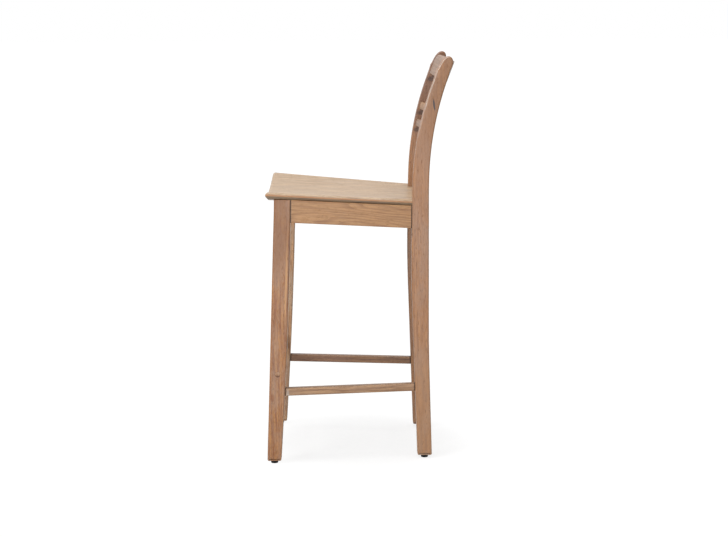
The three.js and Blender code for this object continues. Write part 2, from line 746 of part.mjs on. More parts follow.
// ---------------------------------------------------------------- stretchers

const sideStretcher = stretcher(
  new THREE.Vector3(
    legMiddleX,
    legBackY(SIDE_STRETCHER_HEIGHT),
    SIDE_STRETCHER_HEIGHT,
  ),
  new THREE.Vector3(
    postMiddleX,
    postFrontY(SIDE_STRETCHER_HEIGHT),
    SIDE_STRETCHER_HEIGHT,
  ),
  SIDE_STRETCHER_WIDTH,
  SIDE_STRETCHER_DEPTH,
  CUT_MARGIN,
);

const footrest = stretcher(
  new THREE.Vector3(-legInnerX + JOINT_GAP, legMiddleY(FOOTREST_HEIGHT), FOOTREST_HEIGHT),
  new THREE.Vector3(legInnerX - JOINT_GAP, legMiddleY(FOOTREST_HEIGHT), FOOTREST_HEIGHT),
  FOOTREST_THICKNESS,
  FOOTREST_DEPTH,
);

const backStretcher = stretcher(
  new THREE.Vector3(
    -postInnerX + JOINT_GAP,
    postMiddleY(BACK_STRETCHER_HEIGHT),
    BACK_STRETCHER_HEIGHT,
  ),
  new THREE.Vector3(
    postInnerX - JOINT_GAP,
    postMiddleY(BACK_STRETCHER_HEIGHT),
    BACK_STRETCHER_HEIGHT,
  ),
  BACK_STRETCHER_WIDTH,
  BACK_STRETCHER_DEPTH,
);

/** A side stretcher's bar is cut square to the leg and post, and its tenons go on. */
function sideStretcherPiece() {
  const shouldered = cut(sideStretcher.bar, [legShadow, postShadow]);
  return join([shouldered, sideStretcher.tongue]);
}

// ---------------------------------------------------------------- dowels

const sideRun = new THREE.Vector3(-Math.sin(sideApronAngle), Math.cos(sideApronAngle), 0);
const acrossRun = new THREE.Vector3(1, 0, 0);

/** Joints on the +X side: where their dowels are, and which way they run. */
const dowelJoints = {
  front_apron: {
    middle: new THREE.Vector3(legInnerX, frontApronY + APRON_THICKNESS / 2, 0),
    run: acrossRun,
    bottomZ: sideApronFrontZ,
  },
  back_apron: {
    middle: new THREE.Vector3(postInnerX, backApronY + APRON_THICKNESS / 2, 0),
    run: acrossRun,
    bottomZ: sideApronRearZ,
  },
  side_apron_front: {
    middle: new THREE.Vector3(
      sideApronFrontX - sideApronAcross / 2,
      legBackY(sideApronFrontZ + DOWEL_HIGH),
      0,
    ),
    run: sideRun,
    bottomZ: sideApronFrontZ,
  },
  side_apron_rear: {
    middle: new THREE.Vector3(sideApronRearX - sideApronAcross / 2, 0, 0),
    run: sideRun,
    bottomZ: sideApronRearZ,
  },
};

const dowelLifts = { low: DOWEL_LOW, high: DOWEL_HIGH };

/** A joint's dowel at a lift above the apron's lower edge, grown by a clearance. */
function dowel(joint, lift, clearance = 0) {
  const { middle, run, bottomZ } = dowelJoints[joint];
  const half = DOWEL_LENGTH / 2 + clearance;
  const centre = middle.clone().setZ(bottomZ + lift);
  const from = centre.clone().addScaledVector(run, -half);
  const to = centre.clone().addScaledVector(run, half);
  return rod(DOWEL_DIAMETER / 2 + clearance, from, to, SMALL_SIDES);
}

function dowelHoles(joint) {
  return Object.values(dowelLifts).map((lift) => dowel(joint, lift, JOINT_GAP));
}

// ---------------------------------------------------------------- screws

/** A pan-head screw from under its head along a direction. */
function screw(underHead, direction, length) {
  const radius = SCREW_DIAMETER / 2;
  const head = SCREW_HEAD_DIAMETER / 2;
  const profile = [
    new THREE.Vector2(0, -SCREW_HEAD_HEIGHT),
    new THREE.Vector2(head * HEAD_CROWN, -SCREW_HEAD_HEIGHT),
    new THREE.Vector2(head, -SCREW_HEAD_HEIGHT / 3),
    new THREE.Vector2(head, 0),
    new THREE.Vector2(radius, 0),
    new THREE.Vector2(radius, length - SCREW_TIP),
    new THREE.Vector2(0, length),
  ];
  return turned(profile, underHead, direction, SMALL_SIDES);
}

/** The hole for a screw's shank. */
function screwHole(underHead, direction, length) {
  const unit = direction.clone().normalize();
  const from = underHead.clone().addScaledVector(unit, -CUT_MARGIN);
  const to = underHead.clone().addScaledVector(unit, length + JOINT_GAP);
  return rod(SCREW_DIAMETER / 2 + JOINT_GAP, from, to, SMALL_SIDES);
}

// ---------------------------------------------------------------- corner blocks

/** The corner block of the +X side, at the front or the back of the seat frame. */
function cornerBlock({ apronFaceY, legFaceX, legFaceY, inward }) {
  const reachY = legFaceY + inward * BLOCK_REACH;
  const nearX = sideApronInnerX(legFaceY) - JOINT_GAP;
  const farX = sideApronInnerX(reachY) - JOINT_GAP;
  const corners = [
    [legFaceX - BLOCK_REACH, apronFaceY],
    [legFaceX, apronFaceY],
    [legFaceX, legFaceY],
    [nearX, legFaceY],
    [farX, reachY],
    [farX - BLOCK_TOE, reachY],
    [legFaceX - BLOCK_REACH, apronFaceY + inward * BLOCK_TOE],
  ].map(([x, y]) => new THREE.Vector2(x, y));
  const faceMiddle = corners.at(-1).clone().add(corners.at(-2)).multiplyScalar(0.5);
  const legCorner = new THREE.Vector2(legFaceX, legFaceY);
  const seatZ = seatUnderside(faceMiddle.x, faceMiddle.y);
  const outline = new THREE.Shape(corners);
  const blank = extrudeUp(outline, seatZ - BLOCK_HEIGHT, seatZ + TRIM_REACH);
  return { blank, faceMiddle, legCorner, bottomZ: seatZ - BLOCK_HEIGHT };
}

const blockPlans = {
  front: cornerBlock({
    apronFaceY: frontApronY + APRON_THICKNESS + JOINT_GAP,
    legFaceX: legInnerX - JOINT_GAP,
    legFaceY: legTopBackY + JOINT_GAP,
    inward: 1,
  }),
  back: cornerBlock({
    apronFaceY: backApronY - JOINT_GAP,
    legFaceX: postInnerX - JOINT_GAP,
    legFaceY: -JOINT_GAP,
    inward: -1,
  }),
};

/** The screw that ties a block to its leg: it runs through the corner, half way up. */
function blockScrewLine({ faceMiddle, legCorner, bottomZ }) {
  const z = bottomZ + BLOCK_HEIGHT / 2;
  const towards = legCorner.clone().sub(faceMiddle);
  const underHead = new THREE.Vector3(faceMiddle.x, faceMiddle.y, z);
  const direction = new THREE.Vector3(towards.x, towards.y, 0);
  return { underHead, direction, length: towards.length() + BLOCK_SCREW_BITE };
}

/** The screw that holds the seat: it runs up through the block. */
function seatScrewLine({ faceMiddle, legCorner, bottomZ }) {
  const along = new THREE.Vector2().subVectors(legCorner, faceMiddle);
  const sideways = new THREE.Vector2(along.y, -along.x).normalize();
  const place = faceMiddle.clone().addScaledVector(along, 0.5);
  place.addScaledVector(sideways, SCREW_HEAD_DIAMETER);
  const underHead = new THREE.Vector3(place.x, place.y, bottomZ);
  const length = seatUnderside(place.x, place.y) - bottomZ + SEAT_SCREW_BITE;
  return { underHead, direction: new THREE.Vector3(0, 0, 1), length };
}

/** Room for a pan head that bears on a block's slanting inner face. */
function headSeat({ underHead, direction }) {
  const unit = direction.clone().normalize();
  const from = underHead.clone().addScaledVector(unit, -TRIM_REACH);
  return rod(SCREW_HEAD_DIAMETER / 2 + JOINT_GAP, from, underHead, TURNED_SIDES);
}

const blockScrews = Object.fromEntries(Object.entries(blockPlans).map(([name, plan]) => {
  const line = blockScrewLine(plan);
  line.underHead.addScaledVector(line.direction.clone().normalize(), BLOCK_SCREW_SINK);
  line.length -= BLOCK_SCREW_SINK;
  return [name, line];
}));

const seatScrews = {
  front: seatScrewLine(blockPlans.front),
  back: seatScrewLine(blockPlans.back),
};

function holeOf({ underHead, direction, length }) {
  return screwHole(underHead, direction, length);
}

function screwOf({ underHead, direction, length }) {
  const unit = direction.clone().normalize();
  const seated = underHead.clone().addScaledVector(unit, -JOINT_GAP);
  return screw(seated, direction, length);
}

function blockPiece(name) {
  const tools = [seatTrim, headSeat(blockScrews[name]), holeOf(blockScrews[name])];
  return cut(blockPlans[name].blank, [...tools, holeOf(seatScrews[name])]);
}

// ---------------------------------------------------------------- footrest screw and plug

const plugMiddle = new THREE.Vector3(legOuterX, legMiddleY(FOOTREST_HEIGHT), FOOTREST_HEIGHT);
const inwards = new THREE.Vector3(-1, 0, 0);

function footrestPlug() {
  const radius = PLUG_DIAMETER / 2;
  const profile = [
    new THREE.Vector2(0, -PLUG_DEPTH),
    new THREE.Vector2(radius, -PLUG_DEPTH),
    new THREE.Vector2(radius, 0),
    new THREE.Vector2(radius * HEAD_CROWN, PLUG_DOME * HEAD_CROWN),
    new THREE.Vector2(0, PLUG_DOME),
  ];
  return turned(profile, plugMiddle, new THREE.Vector3(1, 0, 0), TURNED_SIDES);
}

const footrestScrewLine = {
  underHead: plugMiddle.clone().setX(legOuterX - PLUG_DEPTH - 2 * JOINT_GAP - SCREW_HEAD_HEIGHT),
  direction: inwards,
  length: FOOTREST_SCREW_LENGTH,
};

function plugBore() {
  const floor = footrestScrewLine.underHead;
  const mouth = plugMiddle.clone().setX(legOuterX + CUT_MARGIN);
  return rod(PLUG_DIAMETER / 2 + JOINT_GAP, floor, mouth, TURNED_SIDES);
}

// ---------------------------------------------------------------- glides

function turnedUpright(profile, x, y, sides) {
  return new THREE.LatheGeometry(profile, sides).rotateX(Math.PI / 2).translate(x, y, 0);
}

function glide(x, y) {
  const radius = GLIDE_DIAMETER / 2;
  const pocket = NAIL_HEAD_DIAMETER / 2 + JOINT_GAP;
  const profile = [
    new THREE.Vector2(0, 0),
    new THREE.Vector2(radius - GLIDE_CHAMFER, 0),
    new THREE.Vector2(radius, GLIDE_CHAMFER),
    new THREE.Vector2(radius, GLIDE_HEIGHT - JOINT_GAP),
    new THREE.Vector2(pocket, GLIDE_HEIGHT - JOINT_GAP),
    new THREE.Vector2(pocket, GLIDE_FLOOR - JOINT_GAP),
    new THREE.Vector2(0, GLIDE_FLOOR - JOINT_GAP),
  ];
  return turnedUpright(profile, x, y, TURNED_SIDES);
}

function glideNail(x, y) {
  const head = NAIL_HEAD_DIAMETER / 2;
  const shank = NAIL_DIAMETER / 2;
  const headTop = GLIDE_HEIGHT - JOINT_GAP;
  const tip = GLIDE_HEIGHT + NAIL_BITE;
  const profile = [
    new THREE.Vector2(0, GLIDE_FLOOR),
    new THREE.Vector2(head, GLIDE_FLOOR),
    new THREE.Vector2(head, headTop),
    new THREE.Vector2(shank, headTop),
    new THREE.Vector2(shank, tip - NAIL_DIAMETER),
    new THREE.Vector2(0, tip),
  ];
  return turnedUpright(profile, x, y, SMALL_SIDES);
}

function nailHole(x, y) {
  const from = new THREE.Vector3(x, y, GLIDE_HEIGHT - CUT_MARGIN);
  const to = new THREE.Vector3(x, y, GLIDE_HEIGHT + NAIL_BITE + JOINT_GAP);
  return rod(NAIL_DIAMETER / 2 + JOINT_GAP, from, to, SMALL_SIDES);
}

/** Feet of the +X side: the middle of each foot. */
const feet = {
  front: { x: legMiddleX, y: legMiddleY(GLIDE_HEIGHT) },
  back: { x: postMiddleX, y: postMiddleY(GLIDE_HEIGHT) },
};

// ---------------------------------------------------------------- assembly

const stool = new THREE.Group();

function add(name, geometry, finish) {
  const material = new THREE.MeshStandardMaterial(finish);
  const mesh = new THREE.Mesh(geometry, material);
  mesh.name = name;
  stool.add(mesh);
}

/** Adds a piece of the +X side and its twin on the other side. */
function addPair(name, suffix, geometry, finish) {
  const piece = welded(geometry);
  add(`${name}_left${suffix}`, piece, finish);
  add(`${name}_right${suffix}`, mirrored(piece), finish);
}

const frontLeg = cut(frontLegBlank(), [
  seatTrim,
  sideStretcher.mortise,
  footrest.mortise,
  plugBore(),
  holeOf(footrestScrewLine),
  holeOf(blockScrews.front),
  nailHole(feet.front.x, feet.front.y),
  ...dowelHoles('front_apron'),
  ...dowelHoles('side_apron_front'),
]);
addPair('front_leg', '', frontLeg, LEG_BROWN);

const backPost = cut(backPostBlank(), [
  sideStretcher.mortise,
  backStretcher.mortise,
  railMortise(crestEnd, crestTenon),
  railMortise(upperSlatEnd, slatTenon),
  railMortise(lowerSlatEnd, slatTenon),
  holeOf(blockScrews.back),
  nailHole(feet.back.x, feet.back.y),
  ...dowelHoles('back_apron'),
  ...dowelHoles('side_apron_rear'),
]);
addPair('back_post', '', backPost, POST_BROWN);

const seatHoles = Object.values(seatScrews).map(holeOf).map(welded);
add('seat_panel', seatPanel([
  postShadow,
  mirrored(welded(postShadow)),
  ...seatHoles,
  ...seatHoles.map(mirrored),
]), SEAT_OAK);

const sideApronHoles = [...dowelHoles('side_apron_front'), ...dowelHoles('side_apron_rear')];
addPair('side_apron', '', sideApron([legShadow, postShadow, ...sideApronHoles]), APRON_OAK);

const frontApronHoles = dowelHoles('front_apron').map(welded);
add('front_apron', crossApron(frontApronY, legInnerX - JOINT_GAP, sideApronFrontZ, [
  ...frontApronHoles,
  ...frontApronHoles.map(mirrored),
]), APRON_OAK);

const backApronHoles = dowelHoles('back_apron').map(welded);
add('back_apron', crossApron(backApronY, postInnerX - JOINT_GAP, sideApronRearZ, [
  ...backApronHoles,
  ...backApronHoles.map(mirrored),
]), APRON_OAK);

addPair('side_stretcher', '', sideStretcherPiece(), RAIL_OAK);

const footrestHole = welded(holeOf(footrestScrewLine));
const footrestBar = join([footrest.bar, footrest.tongue]);
add('front_footrest', cut(footrestBar, [footrestHole, mirrored(footrestHole)]), RAIL_OAK);
add('back_stretcher', join([backStretcher.bar, backStretcher.tongue]), RAIL_OAK);

add('crest_rail', bowedRail(crestEnd, crestSection(), crestTenon), RAIL_OAK);
add('upper_back_slat', bowedRail(upperSlatEnd, slatSection, slatTenon), RAIL_OAK);
add('lower_back_slat', bowedRail(lowerSlatEnd, slatSection, slatTenon), RAIL_OAK);

for (const place of ['front', 'back']) {
  const { x, y } = feet[place];
  addPair(`${place}_corner_block`, '', blockPiece(place), BARE_WOOD);
  addPair(`${place}_block_screw`, '', screwOf(blockScrews[place]), ZINC);
  addPair(`${place}_seat_screw`, '', screwOf(seatScrews[place]), ZINC);
  addPair(`${place}_glide`, '', glide(x, y), DARK_PLASTIC);
  addPair(`${place}_glide_nail`, '', glideNail(x, y), ZINC);
}

addPair('footrest_plug', '', footrestPlug(), APRON_OAK);
addPair('footrest_screw', '', screwOf(footrestScrewLine), ZINC);

for (const joint of Object.keys(dowelJoints)) {
  for (const [level, lift] of Object.entries(dowelLifts)) {
    addPair(`${joint}_dowel`, `_${level}`, dowel(joint, lift), BARE_WOOD);
  }
}

// The stool stands centred over the origin.
const bounds = new THREE.Box3().setFromObject(stool);
stool.position.y = -(bounds.min.y + bounds.max.y) / 2;

export default stool;
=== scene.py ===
"""Counter-height bar stool with a ladder back: wood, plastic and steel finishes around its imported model.

Everything is in metres, in the frame of the model: X across, Y from front to back, Z up.
"""

from math import cos, pi, radians, sin, sqrt

import bpy
import numpy as np
from mathutils import Matrix, Vector
from mathutils.bvhtree import BVHTree


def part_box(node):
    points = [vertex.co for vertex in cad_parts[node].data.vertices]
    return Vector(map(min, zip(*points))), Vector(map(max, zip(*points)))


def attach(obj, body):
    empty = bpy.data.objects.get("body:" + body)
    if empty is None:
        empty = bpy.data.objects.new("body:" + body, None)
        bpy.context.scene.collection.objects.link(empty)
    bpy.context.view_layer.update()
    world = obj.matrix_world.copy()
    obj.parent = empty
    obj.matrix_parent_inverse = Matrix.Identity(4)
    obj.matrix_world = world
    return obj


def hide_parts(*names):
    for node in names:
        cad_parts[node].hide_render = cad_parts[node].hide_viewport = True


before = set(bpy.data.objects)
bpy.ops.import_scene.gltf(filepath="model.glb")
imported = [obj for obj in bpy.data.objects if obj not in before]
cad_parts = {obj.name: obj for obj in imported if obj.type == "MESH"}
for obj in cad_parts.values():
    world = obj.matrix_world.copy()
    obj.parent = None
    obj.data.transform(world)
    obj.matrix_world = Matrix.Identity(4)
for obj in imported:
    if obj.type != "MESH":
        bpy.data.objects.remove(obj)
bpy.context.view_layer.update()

MM = 0.001


def mm(*steps):
    return [step * MM for step in steps]


# ---- sizes of the finish

JOINT_GAP = 0.3 * MM
LEG_ARRIS = 3.5 * MM
FOOT_ROUND = 4 * MM
POST_TOP_ROUND = 34 * MM  # how far the rounding of a post's top comes down
LEG_TOP_REACH = 4 * MM  # how far a leg is drawn up before it is cut to the seat
LEG_CUT = 12 * MM  # how far below its top a leg's faces are still whole
POST_CUT = 40 * MM  # the same for a post
BLADE_BEND = 0.85  # the share of a leg's height above which it is drawn to the seat
ARRIS = {"apron": 1.5 * MM, "rail": 2.5 * MM}
END_CHAMFER = 0.7 * MM
SEAM_REACH = 3.4 * MM  # how far stain has gathered in from a joint
WEAR_REACH = 2.2 * MM  # how far an arris's wear runs on over the flat faces
ARRIS_EDGE_WEAR = 0.55  # wear where an arris meets the flat faces; its middle has 1
FOOT_WEAR = 0.8
BACK_WEAR = 0.7  # how much of a front arris's wear an arris at the back has
WEAR_FADE = 80 * MM
POST_WEAR_AND_HIGHLIGHT_ABOVE = 780 * MM  # a sitter's back rubs the posts above this height; there the near post's front arris also carries its full painted highlight
SEAT_SIDE_ROUND = 7 * MM
SEAT_NOSE_ROUND = 9 * MM
SEAT_BEVEL = 6 * MM
SEAT_CORNER = 6 * MM
SEAT_WEAR_REACH = 0.5 * MM
SEAT_FIGURE_DRAW = 0.45  # the seat boards' figure is drawn out along them
SEAT_GRID = (27, 24)  # columns between the notches, and rows from the nose to the notches
SEAT_PROBES = (9, 7)  # how many places across and along measure the seat's faces
SEAT_PROBE_WIDTH = 0.56  # the share of the seat's width that they reach over
SEAT_PROBE_ENDS = mm(30, 80)  # how far they stay from its front and rear edges
SEAT_INSETS = mm(0, 0.35, 0.9, 1.7, 2.7, 3.8, 4.9, 6, 7, 9, 12)
NOTCH_EASE = mm(0, 0.5, 1.4, 4)
NOTCH_ROUND = 1.5 * MM
NOTCH_DEPTH = 14 * MM  # where under the seat's highest edge its notch meets the post
TONGUE_ROWS = mm(1.5, 8, 16, 24)  # behind the notches' front
REAR_ROWS = mm(6, 3, 1.6, 0.7, 0.2, 0)  # before the rear edge
LEG_STEPS = 44
POST_STEPS = 70
POST_TURN_STEPS = 16  # over the rounding of its top
POST_TIP = 0.02 * MM  # how far below its top a post is first measured
BAR_STEPS = 24
HOLLOW_STEPS = 40  # for the aprons across, whose tops follow the seat's hollow
BOW_STEPS = 90
BOW_PROBE = 0.9  # the share of a bowed rail's reach where its bow is measured
CLEAR_OF_ENDS = {"apron": 50 * MM, "rail": 80 * MM}  # where a side bar is measured, from its ends
BEVEL_SHADE_AND_STAIN = 0.6  # how much of the painted shade and stain under the seat's edge the bevel keeps
RAIL_CORNER_STEP = 4.5 * MM  # the longest step that a rail's corner is eased over
SHARP_BEND = (0.08 / MM, 0.2 / MM)  # bends, as one over a radius, where wear begins and is full
SCREW_HEAD = 3 * MM
SCREW_HEAD_RADIUS = 4.5 * MM
SCREW_SHANK = 2 * MM
SCREW_POINT = 4 * MM
SCREW_PITCH = 0.8 * MM
SCREW_EASE = 0.2 * MM
LATHE_SIDES = 48
MARK_REACH = 1.0  # along X: a mark runs right through its board
SMOOTH_BELOW = radians(38)
MEASURED_STEPS = 120
ROUND_STEPS = 6
ROUND = np.linspace(0, 1, ROUND_STEPS + 1)
ARRIS_WEAR = ARRIS_EDGE_WEAR + (1 - ARRIS_EDGE_WEAR) * np.sin(ROUND * pi)
SIDES = {"left": 1, "right": -1}


def at_corners(kind):
    """The names of the four nodes of a kind that stand at the stool's corners."""
    return [f"{row}_{kind}_{side}" for row in ("front", "back") for side in SIDES]


# ---- measuring the frame


class Slicer:
    """Where level or upright planes cut a node of the frame."""

    def __init__(self, node):
        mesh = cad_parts[node].data
        self.points = np.array([tuple(vertex.co) for vertex in mesh.vertices])
        self.ends = np.array([tuple(edge.vertices) for edge in mesh.edges])

    def extent(self, across, value, along):
        """Lowest and highest place along one axis, on the plane at a value of another."""
        a, b = self.points[self.ends.T]
        low, high = a[:, across] - value, b[:, across] - value
        cut = (low * high <= 0) & (low != high)
        share = low[cut] / (low[cut] - high[cut])
        places = a[cut, along] + share * (b[cut, along] - a[cut, along])
        return places.min(), places.max()


def smoothed(values):
    """A row of values with its facets taken out, and its ends kept."""
    values = np.array(values)
    for _ in range(2):
        values[1:-1] = (values[:-2] + 2 * values[1:-1] + values[2:]) / 4
    return values


def measured(node, below_top, which):
    """The front (0) or rear (1) face of a leg or post as a smooth function of height."""
    slicer = Slicer(node)
    heights = np.linspace(20 * MM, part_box(node)[1].z - below_top, MEASURED_STEPS)
    values = smoothed([slicer.extent(2, z, 1)[which] for z in heights])
    return lambda z: float(np.interp(z, heights, values))


def straight(slicer, axis, ends):
    """The lowest and highest place along an axis, as straight lines between two Y places."""
    near, far = np.array([slicer.extent(1, y, axis) for y in ends])
    return lambda y: near + (far - near) * (y - ends[0]) / (ends[1] - ends[0])


def fitted_surface(node, direction):
    """The seat's top or underside as a function: it slopes along Y and is hollow across X."""
    tree = BVHTree.FromObject(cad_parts[node], bpy.context.evaluated_depsgraph_get())
    low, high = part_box(node)
    clear = 100 * MM
    start = low.z - clear if direction > 0 else high.z + clear
    rows, heights = [], []
    count_x, count_y = SEAT_PROBES
    front, rear = SEAT_PROBE_ENDS
    for x in np.linspace(-SEAT_PROBE_WIDTH, SEAT_PROBE_WIDTH, count_x) * high.x:
        for y in np.linspace(low.y + front, high.y - rear, count_y):
            hit = tree.ray_cast(Vector((x, y, start)), Vector((0, 0, direction)))[0]
            rows.append((1, y, x * x))
            heights.append(hit.z)
    base, slope_y, hollow = np.linalg.lstsq(np.array(rows), np.array(heights), rcond=None)[0]
    return lambda x, y: base + slope_y * y + hollow * x * x


seat_top = fitted_surface("seat_panel", -1)
seat_underside = fitted_surface("seat_panel", 1)
seat_height = seat_top(0, 0)
leg_back = measured("front_leg_left", LEG_CUT, 1)
post_front = measured("back_post_left", POST_CUT, 0)
post_back = measured("back_post_left", POST_CUT, 1)
leg_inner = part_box("front_leg_left")[0].x
post_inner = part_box("back_post_left")[0].x
post_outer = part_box("back_post_left")[1].x


def from_leg_to_post(z, share):
    """The Y at a share of the way between a leg and its post, at a height."""
    first, last = leg_back(z) + JOINT_GAP, post_front(z) - JOINT_GAP
    return first + (last - first) * share


# ---- meshes


def new_object(name, points, faces=(), edges=(), **marks):
    """An object in the scene, with the values of each mark written on its points."""
    mesh = bpy.data.meshes.new(name)
    mesh.from_pydata([tuple(point) for point in points], edges, faces)
    for mark, values in marks.items():
        values = np.array(values, np.float32)
        kind, field = ("FLOAT", "value") if values.ndim == 1 else ("FLOAT_VECTOR", "vector")
        layer = mesh.attributes.new(mark, kind, "POINT")
        layer.data.foreach_set(field, values.ravel())
    return linked(name, mesh)


def linked(name, data):
    """A new object in the scene that holds the data."""
    made = bpy.data.objects.new(name, data)
    bpy.context.scene.collection.objects.link(made)
    return made


def smooth(piece):
    """Shades a piece smooth, but for its sharp edges."""
    mesh = piece.data
    mesh.polygons.foreach_set("use_smooth", [True] * len(mesh.polygons))
    mesh.set_sharp_from_angle(angle=SMOOTH_BELOW)
    return piece


def piece_from(name, points, faces, material, **marks):
    """A smooth mesh piece with its wear, seam and grain written on its points."""
    piece = new_object(name, points, faces, **marks)
    piece.data.materials.append(material)
    return smooth(piece)


def settle(piece, slot, *nodes):
    """A finished piece stands for its nodes and rides on the stool."""
    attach(piece, "root")
    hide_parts(*nodes)


def tube_faces(rings, count, first=0):
    """Faces between rings of as many points each."""
    faces = []
    for start in range(first, first + (rings - 1) * count, count):
        for i in range(count):
            a, b = start + i, start + (i + 1) % count
            faces.append((a, b, b + count, a + count))
    return faces


def rounded_section(width, height, radius):
    """Points and wear of a bar's section: rounded corners, with plain points just past them."""
    points, wear = [], []
    reach = min(WEAR_REACH, min(width, height) / 2 - radius - 0.1 * MM)
    for corner, signs in enumerate(((1, 1), (-1, 1), (-1, -1), (1, -1))):
        turn = corner * pi / 2
        start = np.array([cos(turn), sin(turn)])
        end = np.array([-sin(turn), cos(turn)])
        middle = np.array(signs) * (np.array([width, height]) / 2 - radius)
        points.append(middle + radius * start - reach * end)
        for angle in turn + ROUND * pi / 2:
            points.append(middle + radius * np.array([cos(angle), sin(angle)]))
        points.append(middle + radius * end - reach * start)
        wear += [0, *ARRIS_WEAR, 0]
    return np.array(points), np.array(wear)


def bar(name, length, width, height, arris, steps, shape, material):
    """A straight bar with rounded long edges and chamfered ends, carried to its place.

    Its points are (across, up, along) from the middle of its first end. The shape function
    takes them to the model's frame.
    """
    section, wear = rounded_section(width, height, arris)
    ends = [(0, END_CHAMFER, 1.0), (END_CHAMFER, 0, 1.0), (SEAM_REACH / 2, 0, 0.9)]
    stations = ends + [(along, 0, 0.0) for along in np.linspace(SEAM_REACH, length - SEAM_REACH, steps)]
    stations += [(length - along, inset, seam) for along, inset, seam in ends[::-1]]
    size = np.array([width, height])
    local, wears, seams = [], [], []
    for along, inset, seam in stations:
        local += [(across, up, along) for across, up in section * (size - 2 * inset) / size]
        wears += list(wear * (1 - seam))
        seams += [seam] * len(wear)
    count = len(section)
    faces = [(a, d, c, b) for a, b, c, d in tube_faces(len(stations), count)]
    faces.append(tuple(range(count)))
    faces.append(tuple(range(len(local) - count, len(local)))[::-1])
    points = [shape(*point) for point in local]
    return piece_from(name, points, faces, material, wear=wears, seam=seams, grain=local)


def unit(rows):
    return rows / np.linalg.norm(rows, axis=1)[:, None]


def outline_normals(outline):
    """Unit normals into a closed outline that runs clockwise seen along -X."""
    ahead = unit(np.roll(outline, -1, axis=0) - outline)
    tangent = unit(ahead + np.roll(ahead, 1, axis=0))
    return np.stack([-tangent[:, 1], tangent[:, 0]], axis=1)


def blade(name, front, back, low_x, high_x, material, top, worn_above):
    """An upright piece cut from a board: its outline runs down the front and up the back.

    front and back are equally many (y, z) points from the top to the foot. top, if given,
    is the surface that the piece ends under. The front's arrises are fully worn above a height.
    """
    outline = np.array(front + back[::-1])
    half, count = len(front), len(outline)
    heights = outline[:, 1]
    foot_wear = (heights < heights.min() + FOOT_ROUND * 0.9) * FOOT_WEAR
    full = np.clip((heights - worn_above) / WEAR_FADE, 0, 1) * (np.arange(count) < half)
    share_worn = BACK_WEAR + (1 - BACK_WEAR) * full
    rings = [(0, LEG_ARRIS + WEAR_REACH, 0.0)]
    for angle, worn in zip(ROUND[::-1] * pi / 2, ARRIS_WEAR):
        rings.append((LEG_ARRIS * (1 - sin(angle)), LEG_ARRIS * (1 - cos(angle)), worn))
    rings.append((LEG_ARRIS + WEAR_REACH, 0, 0.0))
    mirrored = [(high_x - depth, inset, worn) for depth, inset, worn in rings[::-1]]
    rings = [(low_x + depth, inset, worn) for depth, inset, worn in rings] + mirrored
    inward = outline_normals(outline)
    points, wears = [], []
    for x, inset, worn in rings:
        points += [[x, y, z] for y, z in outline + inset * inward]
        wears += list(np.maximum(worn * share_worn, foot_wear))
    if top is not None:
        height = heights.max()
        bend = BLADE_BEND * height
        for point in points:
            if point[2] > bend:
                share = (point[2] - bend) / (height - bend)
                point[2] = bend + share * (top(point[0], point[1]) - JOINT_GAP - bend)
    faces = tube_faces(len(rings), count)
    last = (len(rings) - 1) * count
    for i in range(half - 1):
        mate = count - 1 - i
        faces.append((i, i + 1, mate - 1, mate)[::-1])
        faces.append((last + i, last + i + 1, last + mate - 1, last + mate))
    middle = np.array([(low_x + high_x) / 2, outline[:, 0].mean(), 0])
    return piece_from(name, points, faces, material, wear=wears, grain=np.array(points) - middle)


# ---- node helpers


class Wire:
    """A value that runs between nodes: sums on it add Math nodes."""

    def __init__(self, net, socket):
        self.net, self.socket = net, socket

    def __add__(self, other):
        return self.net.math("ADD", self, other)

    def __sub__(self, other):
        return self.net.math("SUBTRACT", self, other)

    def __rsub__(self, other):
        return self.net.math("SUBTRACT", other, self)

    def __mul__(self, other):
        return self.net.math("MULTIPLY", self, other)

    def __truediv__(self, other):
        return self.net.math("DIVIDE", self, other)

    def clamped(self):
        """The same sum, kept between 0 and 1."""
        self.socket.node.use_clamp = True
        return self

    def ramp(self, low, high):
        """A smooth step from 0 at low to 1 at high."""
        values = {0: self, 1: low, 2: high}
        return self.net.add("ShaderNodeMapRange", values, interpolation_type="SMOOTHSTEP")

    def split(self):
        parts = self.net.add("ShaderNodeSeparateXYZ", {0: self}).socket.node.outputs
        return [Wire(self.net, part) for part in parts]

    def noise(self, scale, detail=2.0, roughness=0.5):
        """Noise at a place: its scale is per metre on each axis."""
        values = {"Vector": self.net.vector("MULTIPLY", self, scale), "Scale": 1.0}
        values.update({"Detail": detail, "Roughness": roughness})
        return self.net.add("ShaderNodeTexNoise", values, "Fac")

    def long_noise(self, across, along, detail=2.0, roughness=0.5):
        """Noise drawn out along the grain."""
        return self.noise((across, across, along), detail, roughness)


